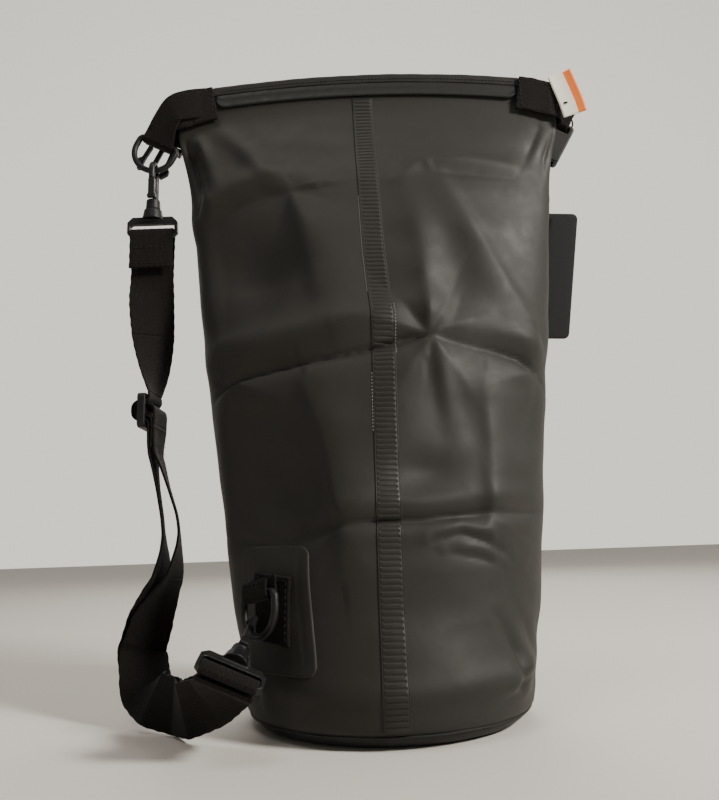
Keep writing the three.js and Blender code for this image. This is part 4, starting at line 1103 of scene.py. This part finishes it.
# centre, width direction and the gap to the inner layer: from the slider to the lower hook
RUN = [
    ((-144.5, 0, 160), (-0.08, 1, 0), 3.5), ((-141.5, 2, 138), (-0.2, 0.98, 0), 6.5),
    ((-138.5, 5, 112), (-0.22, 0.97, 0), 9.5), ((-140, 8, 84), (0.15, 0.98, 0), 8.5),
    ((-147, 9, 60), (0.7, 0.7, 0.05), 5.5), ((-152, 8, 40), (0.8, 0.6, 0.05), 5),
    ((-150, 3, 26), (0.78, 0.6, 0.1), 4.4), ((-141.5, -9, 17.5), (0.62, 0.47, 0.6), 4),
    ((-130, -23, 15.4), (0.35, 0.2, 0.9), 3.8), ((-118.5, -37, 15.4), (0.05, 0, 1), 3.4),
    ((-106, -52, 18), (-0.25, 0, 0.97), 3.2), ((-92, -69, 25.5), (-0.65, -0.05, 0.75), 3.2),
    (tuple(place(LOW_BASE, 0, 13, -35)), tuple(BASE_WIDE), 3.2),
]
RUN_STEPS = 3 * (len(RUN) - 1)


def layer_run(share):
    """The layer's points, at the CAD's own even steps, share times the gap off the outer one."""
    fine = catmull([p for p, _, _ in RUN], RUN_STEPS * 4 + 1)
    wide = unit(catmull([w for _, w, _ in RUN], RUN_STEPS * 4 + 1))
    gaps = catmull([(g, 0, 0) for _, _, g in RUN], RUN_STEPS * 4 + 1)[:, 0]
    along = np.gradient(fine, axis=0)
    normal = unit(np.cross(along, wide))
    moved = fine + normal * (share * gaps)[:, None]
    return [(tuple(p), tuple(w)) for p, w in zip(moved[::4], wide[::4])]


OUTER_WEAVE = [(3.9, 12), (3.9, 8.2), (2, 6.1), (-2.6, 6.1), (-5.8, 3.2)]
outer_near = [at_slider(x, z) for x, z in OUTER_WEAVE]
outer_near += [at_slider(x, -z) for x, z in OUTER_WEAVE[::-1]]
outer_run = layer_run(0)
inner_run = layer_run(1)
INNER_SEWN = [(5.7, -24), (5.7, -6), (4.2, -3.9), (-2.2, -4.2), (-4.1, -2)]
INNER_LOOP = [(-4.1, 2), (-2.2, 4.2), (4.2, 3.7), (6.4, 2.8), (7.4, 0.6), (7.4, -9)]
inner_near = [at_slider(x, z) for x, z in INNER_SEWN + INNER_LOOP]
SPLIT = 9  # the run's step where the upper part of each layer meets the lower one

slider_rows = [[SLIDER_AT + (8.2, y, h) for y in np.linspace(-12, 12, 10)] for h in (-11, -21)]
OUTER_END = [(9.2, -37.9), (5.2, -40.9), (1.6, -43.3), (-2.7, -44.6), (-3.9, -47.8), (-2.7, -50.9),
             (-0.4, -51.8)]
INNER_END = [(11.6, -40.6), (8.8, -44), (6.4, -48.4), (3.9, -51.3), (1.6, -51.8)]


def layer(which, near, run, end, node):
    """One strap layer from the slider to the lower hook: three pieces cut from one path."""
    entries = near + run + [(tuple(place(LOW_BASE, 0, y, z)), tuple(BASE_WIDE)) for y, z in end]
    per_span = 10
    count = (len(entries) - 1) * per_span + 1
    centre = catmull([p for p, _ in entries], count)
    wide = catmull([w for _, w in entries], count)
    # the steps where the strap folds, and how far each fold leaves the CAD's smooth path
    knots = [len(near) + 3 * k for k in (3, 4, 5, 7, 8, 9, 10, 11, 12)]
    push = np.array([0, 0, 0.8, 0.5, 3.2, -2.6, 2.4, 0, 0])
    normal = unit(np.cross(np.gradient(centre, axis=0), wide))
    stops = np.array(knots) * per_span
    path = centre[stops] + normal[stops] * push[:, None]
    inside = np.arange(stops[0], stops[-1] + 1)

    def folded(table):
        return np.stack([np.interp(inside, stops, table[:, k]) for k in range(3)], axis=1)

    sharp, turned_wide = folded(path), folded(wide[stops])
    for _ in range(6):  # softens each fold over about two millimetres
        sharp[1:-1] = (sharp[:-2] + 2 * sharp[1:-1] + sharp[2:]) / 4
    ease = smoothstep(0, 12, inside - stops[0]) * smoothstep(0, 12, stops[-1] - inside)
    centre[inside] += (sharp - centre[inside]) * ease[:, None]
    wide[inside] += (turned_wide - wide[inside]) * ease[:, None]
    leaves = (len(near) - 1) * per_span
    meets = (len(near) + SPLIT) * per_span
    cuts = (("weave", 0, leaves), ("high", leaves, meets), ("low", meets, count - 1))
    for part, first, last in cuts:
        span = slice(first, last + 1)
        body = "strap_slider" if part == "weave" else None
        made = ribbon(f"strap_{which}_{part}", centre[span], wide[span], STRAP_W, body, wave=1)
        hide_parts(node)
        if part == "high":
            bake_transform(made)
        if part == "low":
            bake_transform(made)


layer("outer", outer_near, outer_run, OUTER_END, "strap_outer")
layer("inner", inner_near, inner_run, INNER_END, "strap_inner")
stitches("strap_sewn_stitches", slider_rows, "strap_slider", [(1, 0, 0)] * 2)
frayed("strap_sewn_fray", [SLIDER_AT + (6.2, y, -24) for y in (-13, -9, -3, 4, 10, 13.5)],
       (0.5, -0.3, -0.8), "strap_slider", 9, (1.5, 5))

# ------------------------------------------------------------------ hardware
HARD = {
    "upper_d_ring": "upper_ring", "upper_hook": "upper_hook_body",
    "upper_gate": "upper_gate_body", "upper_swivel_base": "upper_base",
    "lower_d_ring": "lower_ring", "lower_hook": "lower_hook_body",
    "lower_gate": "lower_gate_body", "lower_swivel_base": "lower_base",
    "slider": "strap_slider", "male_buckle": "male_half",
    "male_prong_right": "prong_right", "male_prong_left": "prong_left",
    "female_buckle": "female_half"}
for node, body in HARD.items():
    moulded(node, PLASTIC, body)

# ------------------------------------------------------------------ tags
CARD_AT = axes((121.2, 42.5, 285.2), (0.998, 0.05, 0), (0.0457, -0.39, 0.92))
CARD_HOLE = 40.0  # above the card's middle


def make_card():
    """A blank swing card with rounded corners, a punched hole and a slight bow."""
    half, tall, r, thick = 26.0, 45.0, 4.0, 0.8
    outline = []
    for start, (sx, sz) in enumerate(((1, 1), (-1, 1), (-1, -1), (1, -1))):
        for t in np.linspace(0, math.pi / 2, 7):
            a = start * math.pi / 2 + t
            outline.append((sx * (half - r) + r * math.cos(a), sz * (tall - r) + r * math.sin(a)))
    dense = []
    for p, q in zip(outline, outline[1:] + outline[:1]):
        count = max(1, int(math.dist(p, q) / 3))
        p, step = np.array(p), np.subtract(q, p)
        dense += [p + step * k / count for k in range(count)]
    hole = np.array((0.0, CARD_HOLE))
    rings = []
    for share in (0, 0.25, 0.5, 0.75, 0.97, 1.0):
        ring = []
        for p in dense:
            rim = hole + 2.2 * unit(p - hole)
            ring.append(rim + (p - rim) * share)
        rings.append(ring)
    n = len(dense)
    verts = []
    for side in (-1, 1):
        for k, ring in enumerate(rings):
            soft = 0.75 if k in (0, len(rings) - 1) else 1.0
            for x, z in ring:
                bow = 0.0006 * x * x
                verts.append(place(CARD_AT, x, side * thick / 2 * soft + bow, z))
    levels = len(rings)
    faces = []
    for a, b, c, d in grid_faces(levels, n, wrap=True):
        faces.append((a, d, c, b))
        faces.append(tuple(levels * n + i for i in (a, b, c, d)))
    for k, flip in ((0, False), (levels - 1, True)):
        for j in range(n):
            q = (j + 1) % n
            quad = (k * n + j, k * n + q, levels * n + k * n + q, levels * n + k * n + j)
            faces.append(quad[::-1] if flip else quad)
    piece("swing_card_blank", verts, faces, CARD, "swing_card", "swing_tag")


make_card()
card_side = [(-1.5, 2.4, CARD_HOLE + 4), (-4, 1, CARD_HOLE + 14)]
buckle_side = [(-7, 11.5, -26), (-12.5, 9.5, 1), (-12.8, 0, 5), (-6, -7.4, 5.5)]
buckle_side += [(-x, y, z) for x, y, z in buckle_side[::-1]]
loop = [place(CARD_AT, 0, 0, CARD_HOLE)] + [place(CARD_AT, *p) for p in card_side]
loop += [place(FEMALE, *p) for p in buckle_side]
loop += [place(CARD_AT, -x, -y, z) for x, y, z in card_side[::-1]]
ring_points = catmull(loop[-2:] + loop + loop[:3], 260)
keep = int(260 * 2 / (len(loop) + 4))
tube("card_loop", ring_points[keep:keep + 221], 0.55, CLEAR, "swing_card", "tag_loop")


def make_ticket():
    """The blank price ticket: slightly curled paper with one coloured stripe."""
    points = [(142, -10.2, 382), (140.2, -10, 391), (137.6, -9.4, 401), (134, -8.6, 414)]
    steps, half = 30, 8
    centre = catmull(points, steps)
    along = unit(np.gradient(centre, axis=0))
    wide = np.tile([0.96, -0.2, 0.2], (steps, 1))
    wide = unit(wide - (wide * along).sum(1, keepdims=True) * along)
    normal = np.cross(along, wide)
    run = np.concatenate([[0], np.cumsum(np.linalg.norm(np.diff(centre, axis=0), axis=1))])
    across = np.linspace(-half, half, 13)
    verts, uv = [], []
    for side in (0.25, -0.25):
        for i in range(steps):
            for a in across:
                curl = 0.012 * a * a * (0.4 + 0.6 * i / steps)
                verts.append(centre[i] + wide[i] * a + normal[i] * (side - curl))
                uv.append(((a + half) * MM, run[i] * MM))
    grids = np.reshape(verts, (2, steps, len(across), 3))
    piece("ticket_blank", *slab(*grids), TICKET, "ticket", "price_ticket", uv=uv)


make_ticket()
pin = np.linspace((137.4, -10.4, 391), (130.6, -6.1, 391.6), 8)
tube("ticket_pin", pin, 0.6, PLASTIC, "ticket", "ticket_barb")

# ------------------------------------------------------------------ floor and light
floor = bpy.data.objects.new("floor", bpy.data.meshes.new("floor"))
floor.data.from_pydata([(-4, -3, 0), (4, -3, 0), (4, 5, 0), (-4, 5, 0)], [], [(0, 1, 2, 3)])
bpy.context.scene.collection.objects.link(floor)
FLOOR = Look("floor", None, (0.62, 0.59, 0.55), 0.7, 0.2)
FLOOR.shade(FLOOR.noise(3, 2), 0.98, 1.02)
floor.data.materials.append(FLOOR.mat)

world = bpy.data.worlds.new("world")
bpy.context.scene.world = world
world.use_nodes = True
sky = world.node_tree.nodes["Background"]
sky.inputs["Color"].default_value = (0.92, 0.87, 0.79, 1)
links, make = world.node_tree.links, world.node_tree.nodes.new
facing = make("ShaderNodeSeparateXYZ")
links.new(make("ShaderNodeTexCoord").outputs["Generated"], facing.inputs["Vector"])
bright = make("ShaderNodeMapRange")
for key, value in (("From Min", 0.0), ("From Max", 0.8), ("To Min", 0.16), ("To Max", 1.2)):
    bright.inputs[key].default_value = value
links.new(facing.outputs["Y"], bright.inputs["Value"])
links.new(bright.outputs["Result"], sky.inputs["Strength"])


def area_light(name, place_at, aim, size, power, colour=(1, 0.95, 0.88)):
    lamp = bpy.data.lights.new(name, "AREA")
    lamp.shape = "DISK"
    lamp.size = size
    lamp.energy = power
    lamp.color = colour
    obj = bpy.data.objects.new(name, lamp)
    obj.location = place_at
    obj.rotation_euler = (Vector(aim) - Vector(place_at)).to_track_quat("-Z", "Y").to_euler()
    bpy.context.scene.collection.objects.link(obj)


area_light("key", (1.25, -0.75, 1.05), (0, 0, 0.22), 0.35, 46)
area_light("top", (-0.3, -0.5, 1.7), (0, 0, 0.25), 0.7, 6)
area_light("fill", (-1.2, -0.9, 0.6), (0, 0, 0.2), 1.0, 1.5)
area_light("back", (0.2, 1.4, 1.2), (0, 0, 0.2), 1.0, 12)
